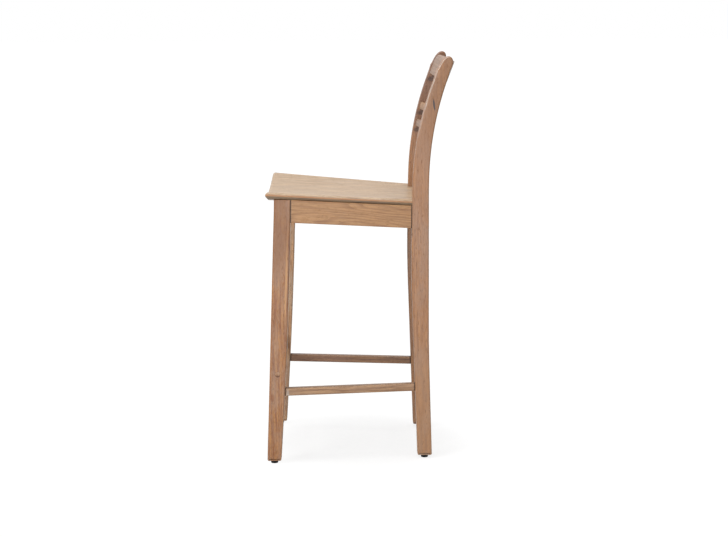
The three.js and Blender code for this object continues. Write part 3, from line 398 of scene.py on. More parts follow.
class Net:
    """A node tree, and ways to add to it."""

    def __init__(self, tree):
        self.tree = tree

    def fill(self, node, values):
        """Sets a node's inputs to plain values, or links them to wires."""
        for key, value in values.items():
            if isinstance(value, Wire):
                self.tree.links.new(value.socket, node.inputs[key])
            else:
                node.inputs[key].default_value = value

    def add(self, kind, values=None, output=0, **settings):
        """A new node's output. Its settings are set before its inputs are filled."""
        node = self.tree.nodes.new(kind)
        for name, value in settings.items():
            setattr(node, name, value)
        self.fill(node, values or {})
        return Wire(self, node.outputs[output])

    def math(self, operation, *values):
        return self.add("ShaderNodeMath", dict(enumerate(values)), operation=operation)

    def vector(self, operation, *values, output="Vector", **inputs):
        inputs.update(enumerate(values))
        return self.add("ShaderNodeVectorMath", inputs, output, operation=operation)

    def join(self, x, y=0.0, z=0.0):
        return self.add("ShaderNodeCombineXYZ", {0: x, 1: y, 2: z})

    def blend(self, share, first, second):
        """A colour mixed from two, by a share."""
        return self.add("ShaderNodeMix", {0: share, 6: first, 7: second}, 2, data_type="RGBA")

    def mark(self, name):
        """The values of a mark on the piece's points."""
        output = "Vector" if name == "grain" else "Fac"
        return self.add("ShaderNodeAttribute", None, output, attribute_name=name)

    def spot(self):
        """The place on the piece, in the model's frame."""
        return self.add("ShaderNodeTexCoord", None, "Object")


def new_group(name, kind, inputs, outputs):
    """A node group's net, its inputs as wires by name, and its end node."""
    tree = bpy.data.node_groups.new(name, kind)
    for way, sockets in (("INPUT", inputs), ("OUTPUT", outputs)):
        for socket, sort in sockets:
            tree.interface.new_socket(socket, in_out=way, socket_type=f"NodeSocket{sort}")
    net = Net(tree)
    given = tree.nodes.new("NodeGroupInput").outputs
    return net, {socket.name: Wire(net, socket) for socket in given}, tree.nodes.new("NodeGroupOutput")


def hue(code):
    """A display colour such as 'a88466' as linear light."""
    parts = [int(code[i:i + 2], 16) / 255 for i in (0, 2, 4)]
    return tuple(c / 12.92 if c <= 0.04045 else ((c + 0.055) / 1.055) ** 2.4 for c in parts) + (1.0,)


# ---- shader groups


HUES = ("Pale", "Deep", "Glaze")
AMOUNTS = (
    "Ring Width", "Ring Depth", "Streak Depth", "Glaze Amount", "Pore Depth", "Wander", "Tilt", "Pith",
)


def build_oak_figure():
    """Stained oak: growth rings, streaks, fibres, pores and patches of grey glaze."""
    inputs = [("Grain", "Vector"), ("Pith", "Vector"), ("Pore", "Color"), ("Seed", "Float")]
    inputs += [(name, "Color") for name in HUES] + [(name, "Float") for name in AMOUNTS[:-1]]
    outputs = [("Color", "Color"), ("Roughness", "Float"), ("Height", "Float")]
    net, feed, result = new_group("oak_figure", "ShaderNodeTree", inputs, outputs)
    moved = net.vector("ADD", feed["Grain"], net.vector("SCALE", (1.37, 2.11, 3.73), Scale=feed["Seed"]))

    # growth rings around a pith that the board's length leans away from
    x, y, z = feed["Grain"].split()
    pith_x, pith_y, _ = feed["Pith"].split()
    drift = z * feed["Tilt"]
    side = x + drift - pith_x
    deep = y + drift - pith_y
    radius = net.math("SQRT", side * side + deep * deep)
    wander = (moved.long_noise(14.0, 3.0) - 0.5) * feed["Wander"]
    phase = net.math("FRACT", (radius + wander) / feed["Ring Width"])
    late = phase.ramp(0.25, 0.92) * (1.0 - phase.ramp(0.93, 1.0))
    early = 1.0 - phase.ramp(0.1, 0.55)

    # streaks a few millimetres wide, specks, fine fibres, open pores and broad patches
    streak = moved.long_noise(210.0, 13.0, 3.0, 0.6).ramp(0.34, 0.68)
    speck = moved.long_noise(420.0, 95.0, 2.0, 0.6).ramp(0.36, 0.68)
    fibre = moved.long_noise(1500.0, 40.0, 2.0, 0.6)
    pore = moved.long_noise(1300.0, 95.0, 1.0).ramp(0.60, 0.72) * (early + 0.35)
    patch = moved.long_noise(26.0, 9.0, 3.0, 0.55).ramp(0.40, 0.64)

    shade = late * feed["Ring Depth"] + streak * feed["Streak Depth"]
    shade = (shade + (fibre - 0.5) * 0.35).clamped()
    colour = net.blend(shade, feed["Pale"], feed["Deep"])
    glaze = feed["Glaze Amount"] * (patch * 0.62 + speck * 0.38)
    colour = net.blend(glaze, colour, feed["Glaze"])
    colour = net.blend((pore * feed["Pore Depth"]).clamped(), colour, feed["Pore"])
    net.fill(result, {
        "Color": colour,
        "Roughness": pore * 0.25 + (fibre - 0.5) * 0.12 + patch * 0.05,
        "Height": fibre * 0.35 - pore - early * 0.2,
    })
    return net.tree


def build_worn_edge():
    """Wear along an arris: solid on its middle, broken up where it fades over the faces."""
    inputs = [("Wear", "Float"), ("Grain", "Vector"), ("Amount", "Float")]
    net, feed, result = new_group("worn_edge", "ShaderNodeTree", inputs, [("Mask", "Float")])
    coarse = feed["Grain"].long_noise(120.0, 22.0, 3.0, 0.65)
    uneven = feed["Wear"] + (coarse - 0.5) * 0.9
    net.fill(result, {"Mask": (uneven.ramp(0.62, 1.05) * feed["Amount"]).clamped()})
    return net.tree


def build_streak_mark():
    """One mark in the wood, such as a mineral streak: a soft, ragged ellipse that may lean."""
    inputs = [("Place", "Vector"), ("Centre", "Vector"), ("Reach", "Vector"), ("Lean", "Float")]
    net, feed, result = new_group("streak_mark", "ShaderNodeTree", inputs, [("Mask", "Float")])
    x, y, z = net.vector("SUBTRACT", feed["Place"], feed["Centre"]).split()
    scaled = net.vector("DIVIDE", net.join(x, y - z * feed["Lean"], z), feed["Reach"])
    ragged = feed["Place"].long_noise(500.0, 60.0)
    edge = net.vector("LENGTH", scaled, output="Value") + (ragged - 0.5) * 0.5
    net.fill(result, {"Mask": 1.0 - edge.ramp(0.55, 1.15)})
    return net.tree


OAK_FIGURE = build_oak_figure()
WORN_EDGE = build_worn_edge()
STREAK_MARK = build_streak_mark()


# ---- materials


def new_material(name, **shader):
    """A material and its net, with plain values set on its Principled BSDF's own sockets."""
    material = bpy.data.materials.new(name)
    material.use_nodes = True
    net = Net(material.node_tree)
    values = {key.replace("_", " "): value for key, value in shader.items()}
    net.fill(material.node_tree.nodes["Principled BSDF"], values)
    return material, net


def finish(material, net, colour, rough, height, strength, depth):
    """Feeds a material's shader with its colour, its roughness and its relief."""
    values = {"Height": height, "Strength": strength, "Distance": depth}
    relief = net.add("ShaderNodeBump", values, "Normal")
    shader = net.tree.nodes["Principled BSDF"]
    net.fill(shader, {"Base Color": colour, "Roughness": rough, "Normal": relief})
    return material


def oak(name, figure, edge_hue, edge_amount, marks):
    """Stained and lacquered oak, with its arrises worn, stain gathered in its joints and marks laid on;
    some of the marks are painted shadows.
    """
    material, net = new_material(name, IOR=1.5)
    grain = net.mark("grain")
    wood = net.add("ShaderNodeGroup", {"Grain": grain, **figure}, "Color", node_tree=OAK_FIGURE)
    edge = {"Wear": net.mark("wear"), "Grain": grain, "Amount": edge_amount}
    worn = net.add("ShaderNodeGroup", edge, "Mask", node_tree=WORN_EDGE)
    # worn arrises take the edge hue; on the near left post this pale hue is a painted highlight as well as
    # wear
    colour = net.blend(worn, wood, hue(edge_hue))
    for centre, reach, lean, mark_hue, amount in marks:
        half_sizes = (MARK_REACH, *mm(*reach))
        values = {"Place": net.spot(), "Centre": centre, "Reach": half_sizes, "Lean": lean}
        mark = net.add("ShaderNodeGroup", values, "Mask", node_tree=STREAK_MARK)
        colour = net.blend(mark * amount, colour, hue(mark_hue))
    # seams darken joints with stain; along the seat's underside edge they are painted shade as well
    colour = net.blend(net.mark("seam").ramp(0.25, 0.95) * 0.85, colour, hue("2c1d15"))
    rough, height = [Wire(net, wood.socket.node.outputs[key]) for key in ("Roughness", "Height")]
    return finish(material, net, colour, rough + 0.42, height, 0.35, 0.4 * MM)


def zinc(name):
    """Dull zinc plate with a fine brushed bloom."""
    material, net = new_material(name, Metallic=1.0)
    bloom = net.spot().noise((900.0, 900.0, 900.0), 3.0)
    colour = net.blend(bloom.ramp(0.3, 0.7), hue("9a9c9e"), hue("c3c5c7"))
    return finish(material, net, colour, bloom * 0.25 + 0.28, bloom, 0.15, 0.2 * MM)


def moulded(name):
    """Black moulded plastic with a spark-eroded grain and scuffs near the floor."""
    material, net = new_material(name, IOR=1.4, Specular_IOR_Level=0.25)
    grain = net.spot().noise((2600.0, 2600.0, 2600.0))
    scuff = net.spot().noise((260.0, 260.0, 900.0), 4.0)
    low = 1.0 - net.spot().split()[2].ramp(0.0, 3 * MM)
    worn = (scuff.ramp(0.48, 0.72) * (low + 0.25)).clamped()
    colour = net.blend(worn, hue("060606"), hue("1d1b1a"))
    return finish(material, net, colour, worn * 0.25 + 0.58, grain, 0.25, 0.1 * MM)


def bare_wood(name, scale, pale_hue, deep_hue):
    """Unfinished wood: fine stripes along one axis, sawn and matte."""
    material, net = new_material(name, IOR=1.45)
    stripe = net.spot().noise(scale, 3.0)
    patch = net.spot().noise((30.0, 30.0, 30.0))
    share = (stripe.ramp(0.3, 0.7) * 0.7 + patch * 0.3).clamped()
    colour = net.blend(share, hue(pale_hue), hue(deep_hue))
    return finish(material, net, colour, stripe * 0.2 + 0.62, stripe, 0.3, 0.3 * MM)


def plug_oak(name, height, radius):
    """A stained plug, pale above, with painted shade on its lower half and stain gathered around its rim.
    """
    material, net = new_material(name, IOR=1.5)
    fibre = net.spot().noise((500.0, 900.0, 90.0), 3.0)
    # painted shade: the lower half is darkened as though the dome faced away from the light above
    below = 1.0 - net.spot().split()[2].ramp(height - 0.75 * radius, height)
    colour = net.blend(fibre.ramp(0.3, 0.7), hue("b08a68"), hue("94694a"))
    colour = net.blend(below * 0.8, colour, hue("5c3222"))
    colour = net.blend(net.mark("seam").ramp(0.1, 0.8), colour, hue("4a2b1c"))
    return finish(material, net, colour, fibre * 0.15 + 0.38, fibre, 0.3, 0.3 * MM)


FIGURES = {  # the amounts, then how much of the worn arrises shows
    "leg": (0.011, 0.3, 0.8, 0.8, 0.75, 0.03, 0.03, (0.03, 0.06, 0), 0.7),
    "post": (0.011, 0.25, 0.7, 0.75, 0.75, 0.03, 0.03, (0.03, -0.08, 0), 0.7),
    "rail": (0.009, 0.35, 0.95, 0.6, 0.45, 0.02, 0.03, (0.02, 0.05, 0), 0.45),
    "dark_rail": (0.009, 0.35, 0.95, 0.7, 0.45, 0.02, 0.03, (0.02, 0.05, 0), 0.45),
    "back_rail": (0.009, 0.3, 0.4, 0.7, 0.4, 0.02, 0.03, (0.02, 0.05, 0), 0.45),
    "apron": (0.006, 0.5, 0.45, 0.35, 0.5, 0.06, 0.05, (0.03, -0.02, 0), 0.5),
    "seat": (0.012, 0.4, 0.6, 0.5, 0.5, 0.02, 0.02, (0.05, 0.09, 0), 0.85),
}
BOARDS = {  # the figure, its pale, deep and glaze hues, and the hue of worn arrises, which on the near left post is also a painted highlight
    "leg_left": ("leg", "b8814c", "804a23", "a88873", "a36c40"),
    "leg_right": ("leg", "dcaa76", "804a23", "c0a78f", "a36c40"),
    # the near left post's pale grey arris hue is a painted highlight, the grazing reflection along its
    # front arris, as well as its wear
    "post_left": ("post", "b27c4d", "845530", "a1816c", "c6bcb2"),
    "post_right": ("post", "b27c4d", "845530", "a1816c", "765543"),
    "rail": ("rail", "c0976f", "866143", "a88871", "a9845e"),
    "dark_rail": ("dark_rail", "9b7250", "694b36", "95715c", "a9845e"),
    "back_rail": ("back_rail", "a78973", "7a5e4e", "9a857a", "a9845e"),
    "apron": ("apron", "bc8c5b", "895a32", "a58365", "b98450"),
    "seat": ("seat", "ceb18f", "96785b", "bca998", "b47d52"),
}
PORE_HUE = "4a3020"


def board(name, kind, seed, marks=()):
    """The oak of one board, with a figure and marks of its own."""
    figure, *hues, edge_hue = BOARDS[kind]
    *amounts, edge_amount = FIGURES[figure]
    traits = {"Pore": hue(PORE_HUE), "Seed": seed, **dict(zip(AMOUNTS, amounts))}
    traits.update(zip(HUES, [hue(code) for code in hues]))
    return oak(name, traits, edge_hue, edge_amount, marks)


# ---- legs and posts


def upright(name, node, slot, heights, cut_heights, material, eased=0, top=None, worn_above=0.0):
    """A leg or post: its faces are measured at the cut heights, and its foot's corners rounded.

    From the eased row down, the measured faces are smoothed once more.
    """
    low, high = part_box(node)
    slicer = Slicer(node)
    faces = np.array([slicer.extent(2, z, 1) for z in cut_heights])
    sides = []
    for face, inward in zip(faces.T, (1, -1)):
        if eased:
            face[eased:] = smoothed(face[eased:])
        side = list(zip(smoothed(face), heights))
        for angle in ROUND[1:] * pi / 2:
            inset = FOOT_ROUND * (1 - cos(angle))
            side.append((face[-1] + inward * inset, low.z + FOOT_ROUND * (1 - sin(angle))))
        sides.append(side)
    settle(blade(name, *sides, low.x, high.x, material, top, worn_above), slot, node)


def front_leg(side, material):
    node = f"front_leg_{side}"
    low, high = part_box(node)
    reach = high.z - LEG_CUT
    below = np.linspace(reach, low.z + FOOT_ROUND, LEG_STEPS)
    heights = np.concatenate([[high.z + LEG_TOP_REACH], below])
    cuts = np.minimum(heights, reach)
    upright(f"leg_front_{side}", node, "leg_wood", heights, cuts, material, top=seat_underside)


def back_post(side, material):
    node = f"back_post_{side}"
    low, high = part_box(node)
    below = high.z - POST_TOP_ROUND
    turns = np.sin(pi / 2 * (1 - np.arange(POST_TURN_STEPS) / POST_TURN_STEPS))
    turning = high.z - POST_TIP - POST_TOP_ROUND * (1 - turns)
    heights = np.concatenate([turning, np.linspace(below, low.z + FOOT_ROUND, POST_STEPS)])
    upright(
        f"post_back_{side}", node, "post_wood", heights, heights, material,
        eased=len(turning), worn_above=POST_WEAR_AND_HIGHLIGHT_ABOVE,
    )


# ---- seat


def round_drop(inset, radius):
    """How far a rounded top edge has dropped at a distance in from the edge."""
    short = min(radius, max(0.0, radius - inset))
    return radius - sqrt(radius * radius - short * short)


def bevel_rise(inset):
    """How far the underside rises towards its edge, with the bevel's own arrises eased."""
    ease, soft = 1.2 * MM, 1.0 * MM
    rise = max(0.0, SEAT_BEVEL - inset)
    if inset < ease:
        rise += 0.5 * MM * (1 - inset / ease) ** 2
    if abs(inset - SEAT_BEVEL) < soft:
        rise = (SEAT_BEVEL + soft - inset) ** 2 / (4 * soft)
    return rise


def seat_edges():
    """The seat's half width as a function of Y, and its front edge as a function of X."""
    slicer = Slicer("seat_panel")
    low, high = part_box("seat_panel")
    near, far = low.y + 30 * MM, low.y + 240 * MM
    half_near, half_far = [slicer.extent(1, y, 0)[1] for y in (near, far)]
    bow_x = 190 * MM
    nose, bowed = [slicer.extent(0, x, 1)[0] for x in (0, bow_x)]

    def half_width(y):
        return half_near + (half_far - half_near) * (y - near) / (far - near)

    def front_edge(x):
        return nose + (bowed - nose) * (x / bow_x) ** 2

    return half_width, front_edge


def build_seat(material):
    """The seat as a grid of rows from front to back and columns across, above and below."""
    half_width, front_edge = seat_edges()
    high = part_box("seat_panel")[1]
    front, depth = front_edge(0), high.y - front_edge(0)
    corner_drop = front_edge(high.x) - front
    tongue = post_inner - JOINT_GAP
    notch = post_front(high.z - NOTCH_DEPTH) - JOINT_GAP - front
    column_count, row_count = SEAT_GRID
    inner = [step - tongue for step in NOTCH_EASE]
    inner += list(np.linspace(-tongue, tongue, column_count))[1:-1]
    inner += [tongue - step for step in NOTCH_EASE[::-1]]
    rows = SEAT_INSETS + list(np.linspace(SEAT_INSETS[-1], notch - NOTCH_EASE[-1], row_count))[1:]
    rows += [notch - step for step in NOTCH_EASE[-2::-1]]
    full_rows = len(rows)
    rows += [notch + step for step in TONGUE_ROWS] + [depth - step for step in REAR_ROWS]
    first_inner = len(SEAT_INSETS)
    after_inner = first_inner + len(inner)
    columns = after_inner + first_inner

    def plan(column, nose, full):
        """The place in plan, with its insets from the edges and the rounded edge's radius."""
        share = nose / depth
        y = front + nose
        wide = half_width(y + corner_drop * (1 - share))
        if first_inner <= column < after_inner:
            x = inner[column - first_inner]
        elif column < first_inner:
            x = SEAT_INSETS[column] - wide
        else:
            x = wide - SEAT_INSETS[columns - 1 - column]
        side = wide - abs(x) if full else 1.0
        inset = min(side, nose)
        radius = SEAT_NOSE_ROUND if nose < side else SEAT_SIDE_ROUND
        if side < SEAT_CORNER and nose < SEAT_CORNER:
            p, q = SEAT_CORNER - side, SEAT_CORNER - nose
            ring, length = max(p, q), sqrt(p * p + q * q)
            radius = SEAT_SIDE_ROUND + (SEAT_NOSE_ROUND - SEAT_SIDE_ROUND) * (q / length) ** 2
            inset = SEAT_CORNER - ring
            x = np.sign(x) * (wide - (SEAT_CORNER - p * ring / length))
            y = front + SEAT_CORNER - q * ring / length
        y += (front_edge(x) - front) * (1 - share)
        return x, y, side, inset, radius

    points, wears, seams, keys = [], [], [], {}
    for above in (False, True):
        for row, nose in enumerate(rows):
            full = row < full_rows
            for column in range(columns) if full else range(first_inner, after_inner):
                x, y, side, inset, radius = plan(column, nose, full)
                cut = 1.0 if row < full_rows - 1 else tongue - abs(x)
                rim = round_drop(min(depth - nose, cut), NOTCH_ROUND)
                if not above:
                    z = seat_underside(x, y) + max(bevel_rise(inset), rim * 0.6)
                elif inset < SEAT_CORNER:
                    z = seat_top(x, y) - max(round_drop(inset, radius), rim)
                else:
                    flat = max(round_drop(side, SEAT_SIDE_ROUND), round_drop(nose, SEAT_NOSE_ROUND))
                    z = seat_top(x, y) - max(flat, rim)
                keys[above, row, column] = len(points)
                points.append((x, y, z))
                wears.append(max(0.0, 1.1 - inset / SEAT_WEAR_REACH))
                # the underside's bevel and the band just inside it are darkened: painted shade under the
                # seat's edge, with stain at the apron joint
                stain = BEVEL_SHADE_AND_STAIN if inset < SEAT_BEVEL - 0.5 * MM else 1.0
                seams.append(0.0 if above or inset == 0 or inset > 1.3 * SEAT_BEVEL else stain)
    faces = []
    for row in range(len(rows) - 1):
        for column in range(columns - 1):
            corners = [(row, column), (row, column + 1), (row + 1, column + 1), (row + 1, column)]
            if all((True, *corner) in keys for corner in corners):
                faces.append([keys[(True, *corner)] for corner in corners])
                faces.append([keys[(False, *corner)] for corner in corners[::-1]])
    edges = {pair: True for face in faces for pair in zip(face, face[1:] + face[:1])}
    half = len(points) // 2
    for a, b in edges:
        if (b, a) not in edges and a >= half:
            faces.append([b, a, a - half, b - half])
    grain = [(x, z - seat_height, SEAT_FIGURE_DRAW * y) for x, y, z in points]
    piece = piece_from("seat", points, faces, material, wear=wears, seam=seams, grain=grain)
    settle(piece, "seat_wood", "seat_panel")


# ---- aprons and stretchers


def side_bar(name, node, kind, hand, material):
    """An apron or a rail from a leg to its post, cut to both. An apron also meets the seat."""
    under_seat = kind == "apron"
    slicer = Slicer(node)
    low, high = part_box(node)
    ends = (low.y + CLEAR_OF_ENDS[kind], high.y - CLEAR_OF_ENDS[kind])
    face = straight(slicer, 0, ends)
    edge = straight(slicer, 2, ends)
    middle = (low.z + high.z) / 2
    width = np.ptp(face(0))
    height = np.ptp(edge(ends[0])) if under_seat else high.z - low.z
    length = from_leg_to_post(middle, 1) - from_leg_to_post(middle, 0)

    def shape(across, up, along):
        share = along / length
        if not under_seat:
            z = middle + up
            y = from_leg_to_post(z, share)
            return face(y).mean() + hand * across, y, z
        y = from_leg_to_post(middle, share)
        x = face(y).mean() + hand * across
        bottom = edge(y)[0]
        z = bottom + (up / height + 0.5) * (seat_underside(x, y) - JOINT_GAP - bottom)
        return x, from_leg_to_post(z, share), z

    piece = bar(name, length, width, height, ARRIS[kind], BAR_STEPS, shape, material)
    if hand < 0:
        piece.data.flip_normals()
    settle(piece, f"{kind}_wood", node)


def cross_bar(name, node, kind, inner, material):
    """An apron or a rail that runs across the stool. An apron also meets the seat."""
    under_seat = kind == "apron"
    low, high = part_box(node)
    middle = (low + high) / 2
    height = high.z - low.z
    reach = inner - JOINT_GAP

    def shape(across, up, along):
        x, y = along - reach, middle.y - across
        if not under_seat:
            return x, y, middle.z + up
        return x, y, low.z + (up / height + 0.5) * (seat_underside(x, y) - JOINT_GAP - low.z)

    steps = HOLLOW_STEPS if under_seat else BAR_STEPS
    piece = bar(name, 2 * reach, high.y - low.y, height, ARRIS[kind], steps, shape, material)
    settle(piece, f"{kind}_wood", node)


# ---- bowed rails


SHAPE = [("Geometry", "Geometry")]


def build_bowed_rail_tree():
    """Sweeps a section across the stool and bows it around an arc, square to the rail's lean."""
    inputs = SHAPE + [("Half Length", "Float"), ("Bow Radius", "Float"), ("Steps", "Int")]
    inputs += [("Middle", "Vector"), ("Depth Axis", "Vector"), ("Material", "Material")]
    net, feed, result = new_group("bowed_rail", "GeometryNodeTree", inputs, SHAPE)
    profile = net.add("GeometryNodeMeshToCurve", {0: feed["Geometry"]})
    ends = {"Start": net.join(feed["Half Length"] * -1.0), "End": net.join(feed["Half Length"])}
    line = net.add("GeometryNodeCurvePrimitiveLine", ends)
    path = net.add("GeometryNodeResampleCurve", {"Curve": line, "Count": feed["Steps"]})
    path = net.add("GeometryNodeSetCurveNormal", {0: path}, mode="Z_UP")
    swept = {"Curve": path, "Profile Curve": profile, "Fill Caps": True}
    shape = net.add("GeometryNodeCurveToMesh", swept)
    position = net.add("GeometryNodeInputPosition")
    x, y, z = position.split()
    seam = net.math("LESS_THAN", feed["Half Length"] - net.math("ABSOLUTE", x), 0.5 * MM)
    for name, value, kind in (("grain", net.join(y, z, x), "FLOAT_VECTOR"), ("seam", seam, "FLOAT")):
        values = {"Geometry": shape, "Name": name, "Value": value}
        shape = net.add("GeometryNodeStoreNamedAttribute", values, data_type=kind)
    radius = feed["Bow Radius"] + net.vector("DOT_PRODUCT", position, feed["Depth Axis"], output="Value")
    bow = net.math("SQRT", radius * radius - x * x) - radius
    step = net.vector("SCALE", feed["Depth Axis"], Scale=bow)
    moved = net.vector("ADD", net.vector("ADD", position, step), feed["Middle"])
    shape = net.add("GeometryNodeSetPosition", {"Geometry": shape, "Position": moved})
    shape = net.add("GeometryNodeSetMaterial", {"Geometry": shape, "Material": feed["Material"]})
    net.fill(result, {"Geometry": net.add("GeometryNodeRealizeInstances", {0: shape})})
    return net.tree


def build_repeat_tree():
    """Sets a turned part on each point, with its axis along the point's facing."""
    inputs = SHAPE + [("Part", "Object"), ("Material", "Material")]
    net, feed, result = new_group("turned_on_points", "GeometryNodeTree", inputs, SHAPE)
    part = net.add("GeometryNodeObjectInfo", {"Object": feed["Part"], "As Instance": True}, "Geometry")
    kind = "GeometryNodeInputNamedAttribute"
    facing = net.add(kind, {"Name": "facing"}, "Attribute", data_type="FLOAT_VECTOR")
    turn = net.add("FunctionNodeAlignRotationToVector", {"Vector": facing}, axis="Z")
    values = {"Points": feed["Geometry"], "Instance": part, "Rotation": turn}
    shape = net.add("GeometryNodeRealizeInstances", {0: net.add("GeometryNodeInstanceOnPoints", values)})
    shape = net.add("GeometryNodeSetMaterial", {"Geometry": shape, "Material": feed["Material"]})
    net.fill(result, {"Geometry": shape})
    return net.tree


BOWED_RAIL = build_bowed_rail_tree()
TURNED_ON_POINTS = build_repeat_tree()


def grown(source, tree, **inputs):
    """Runs a Geometry Nodes tree on an object and keeps the result as a plain mesh piece."""
    name = source.name
    modifier = source.modifiers.new("shape", "NODES")
    modifier.node_group = tree
    for item in tree.interface.items_tree:
        key = item.name.replace(" ", "_")
        if item.in_out == "INPUT" and key in inputs:
            modifier[item.identifier] = inputs[key]
    source.update_tag()
    graph = bpy.context.evaluated_depsgraph_get()
    evaluated = source.evaluated_get(graph)
    mesh = bpy.data.meshes.new_from_object(evaluated, preserve_all_data_layers=True, depsgraph=graph)
    bpy.data.objects.remove(source, do_unlink=True)
    mesh.name = name
    return smooth(linked(name, mesh))


def bend_at(before, point, after):
    """How sharply an outline bends at a point, as one over the radius."""
    first, second = point - before, after - point
    lengths = np.linalg.norm([first, second], axis=1)
    turn = abs(first[0] * second[1] - first[1] * second[0])
    return turn / lengths.prod() / lengths.min()


def rail_profile(node):
    """A rail's section at its middle, in order, with its corners' wear marked."""
    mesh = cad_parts[node].data
    ring = [(round(v.co.y, 5), round(v.co.z, 5)) for v in mesh.vertices if abs(v.co.x) < 0.02 * MM]
    ring = np.array(sorted(set(ring)))
    middle = (ring.min(axis=0) + ring.max(axis=0)) / 2
    ring = ring - middle
    ring = ring[np.argsort(np.arctan2(ring[:, 1], ring[:, 0]))]
    edges = np.roll(ring, -1, axis=0) - ring
    up = max((edge for edge in edges if edge[1] > abs(edge[0])), key=np.linalg.norm)
    up = up / np.linalg.norm(up)
    for _ in range(2):
        finer = []
        for i, point in enumerate(ring):
            for neighbour in (ring[i - 1], ring[(i + 1) % len(ring)]):
                reach = np.linalg.norm(neighbour - point)
                finer.append(point + (neighbour - point) / reach * min(reach, RAIL_CORNER_STEP) / 4)
        ring = np.array(finer)
    points, wear = [], []
    blunt, sharp = SHARP_BEND
    for i, point in enumerate(ring):
        after = ring[(i + 1) % len(ring)]
        points.append(point)
        bend = bend_at(ring[i - 1], point, after)
        wear.append(0.9 * min(1.0, max(0.0, (bend - blunt) / (sharp - blunt))))
        length = np.linalg.norm(after - point)
        if length > 2.5 * WEAR_REACH:
            step = (after - point) / length * WEAR_REACH
            points += [point + step, after - step]
            wear += [0, 0]
    return np.array(points), wear, middle, np.array([up[1], -up[0]])


def bowed_rail(name, node, material):
    profile, wear, middle, back = rail_profile(node)
    count = len(profile)
    loop = [(i, (i + 1) % count) for i in range(count)]
    source = new_object(name, [(-y, -z, 0) for y, z in profile], edges=loop, wear=wear)
    slicer = Slicer(node)
    reach = post_inner - JOINT_GAP
    probe = BOW_PROBE * reach
    bow = (slicer.extent(0, 0.1 * MM, 1)[0] - slicer.extent(0, probe, 1)[0]) / back[0]
    radius = (probe * probe + bow * bow) / (2 * bow) - (profile @ back).min()
    piece = grown(
        source, BOWED_RAIL, Half_Length=reach, Bow_Radius=radius, Middle=(0, *middle),
        Depth_Axis=(0, *back), Steps=BOW_STEPS, Material=material,
    )
    settle(piece, "rail_wood", node)


# ---- small parts


def lathe(name, profile, recess=None):
    """A turned solid from (radius, height, seam) rows between its two poles, from its foot up."""
    ring = [(cos(angle), sin(angle)) for angle in np.arange(LATHE_SIDES) * 2 * pi / LATHE_SIDES]
    points, seams = [(0, 0, profile[0][1])], [profile[0][2]]
    for radius, height, seam in profile[1:-1]:
        points += [(radius * x, radius * y, height) for x, y in ring]
        seams += [seam] * LATHE_SIDES
    points.append((0, 0, profile[-1][1]))
    seams.append(profile[-1][2])
    if recess:
        points = [points[0]] + [(x, y, height - recess(x, y, height)) for x, y, height in points[1:]]
    faces = tube_faces(len(profile) - 2, LATHE_SIDES, first=1)
    last = len(points) - 1 - LATHE_SIDES
    for side in range(LATHE_SIDES):
        after = (side + 1) % LATHE_SIDES
        faces.append((0, 1 + after, 1 + side))
        faces.append((last + side, last + after, len(points) - 1))
    return new_object(name, points, faces, seam=seams)


def spread(name, part, placings, material, slot, nodes):
    """One piece made of a turned part at each (place, facing)."""
    places, facings = zip(*placings)
    source = new_object(name, places, facing=[tuple(facing) for facing in facings])
    piece = grown(source, TURNED_ON_POINTS, Part=part, Material=material)
    bpy.data.objects.remove(part, do_unlink=True)
    settle(piece, slot, *nodes)


def axis_of(node):
    """A screw's head, as the middle of its outer face, the way that its head faces, and its length."""
    points = np.array([tuple(v.co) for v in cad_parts[node].data.vertices])
    middle = points.mean(axis=0)
    centred = points - (points.min(axis=0) + points.max(axis=0)) / 2
    axis = np.linalg.svd(centred, full_matrices=False)[2][0]
    along = (points - middle) @ axis
    across = np.linalg.norm(points - middle - np.outer(along, axis), axis=1)
    if along[across.argmax()] < (along.min() + along.max()) / 2:
        axis, along = -axis, -along
    head = points[along > along.max() - 0.01 * MM].mean(axis=0)
    return head, axis, along.max() - along.min()


def cross_recess(x, y, height):
    """Depth of a screw head's cross recess, at a place whose height is from the head's top."""
    if height < -SCREW_HEAD / 2:
        return 0
    arm, reach = sorted((abs(x), abs(y)))
    arm_share = min(1.0, max(0.0, (0.75 * MM - arm) / (0.25 * MM)))
    end_share = min(1.0, max(0.0, (2.5 * MM - reach) / (0.9 * MM)))
    return 1.5 * MM * arm_share * end_share


def pan_screw(name, length):
    """A screw with a pan head, its top at zero, and its thread below."""
    head, shank, ease = SCREW_HEAD_RADIUS, SCREW_SHANK, SCREW_EASE
    rows = [(0, -length), (0.1 * MM, -length), (shank * 0.8, SCREW_POINT - length)]
    for turn in range(int((length - 2 * SCREW_POINT) / SCREW_PITCH)):
        crest = 0.25 * MM if turn % 2 else 0
        rows.append((shank + crest, SCREW_POINT - length + (turn + 1) * SCREW_PITCH))
    rows += [(shank, -SCREW_HEAD - 0.01 * MM), (head - ease, -SCREW_HEAD), (head, ease - SCREW_HEAD)]
    rows += [(head * wide, -SCREW_HEAD * deep) for wide, deep in ((1, 0.6), (0.94, 0.32), (0.82, 0.12))]
    rows += [(radius, 0) for radius in mm(3.1, 2.7, 2.3, 1.9, 1.5, 1.1, 0.8, 0.55, 0.3, 0)]
    return lathe(name, [(radius, height, 0) for radius, height in rows], cross_recess)


def build_screws(steel):
    for kind in ("block", "seat"):
        nodes = at_corners(f"{kind}_screw")
        lines = [axis_of(node) for node in nodes]
        screw = pan_screw("screw", min(length for _, _, length in lines))
        spread(f"screws_{kind}", screw, [line[:2] for line in lines], steel, "zinc_steel", nodes)


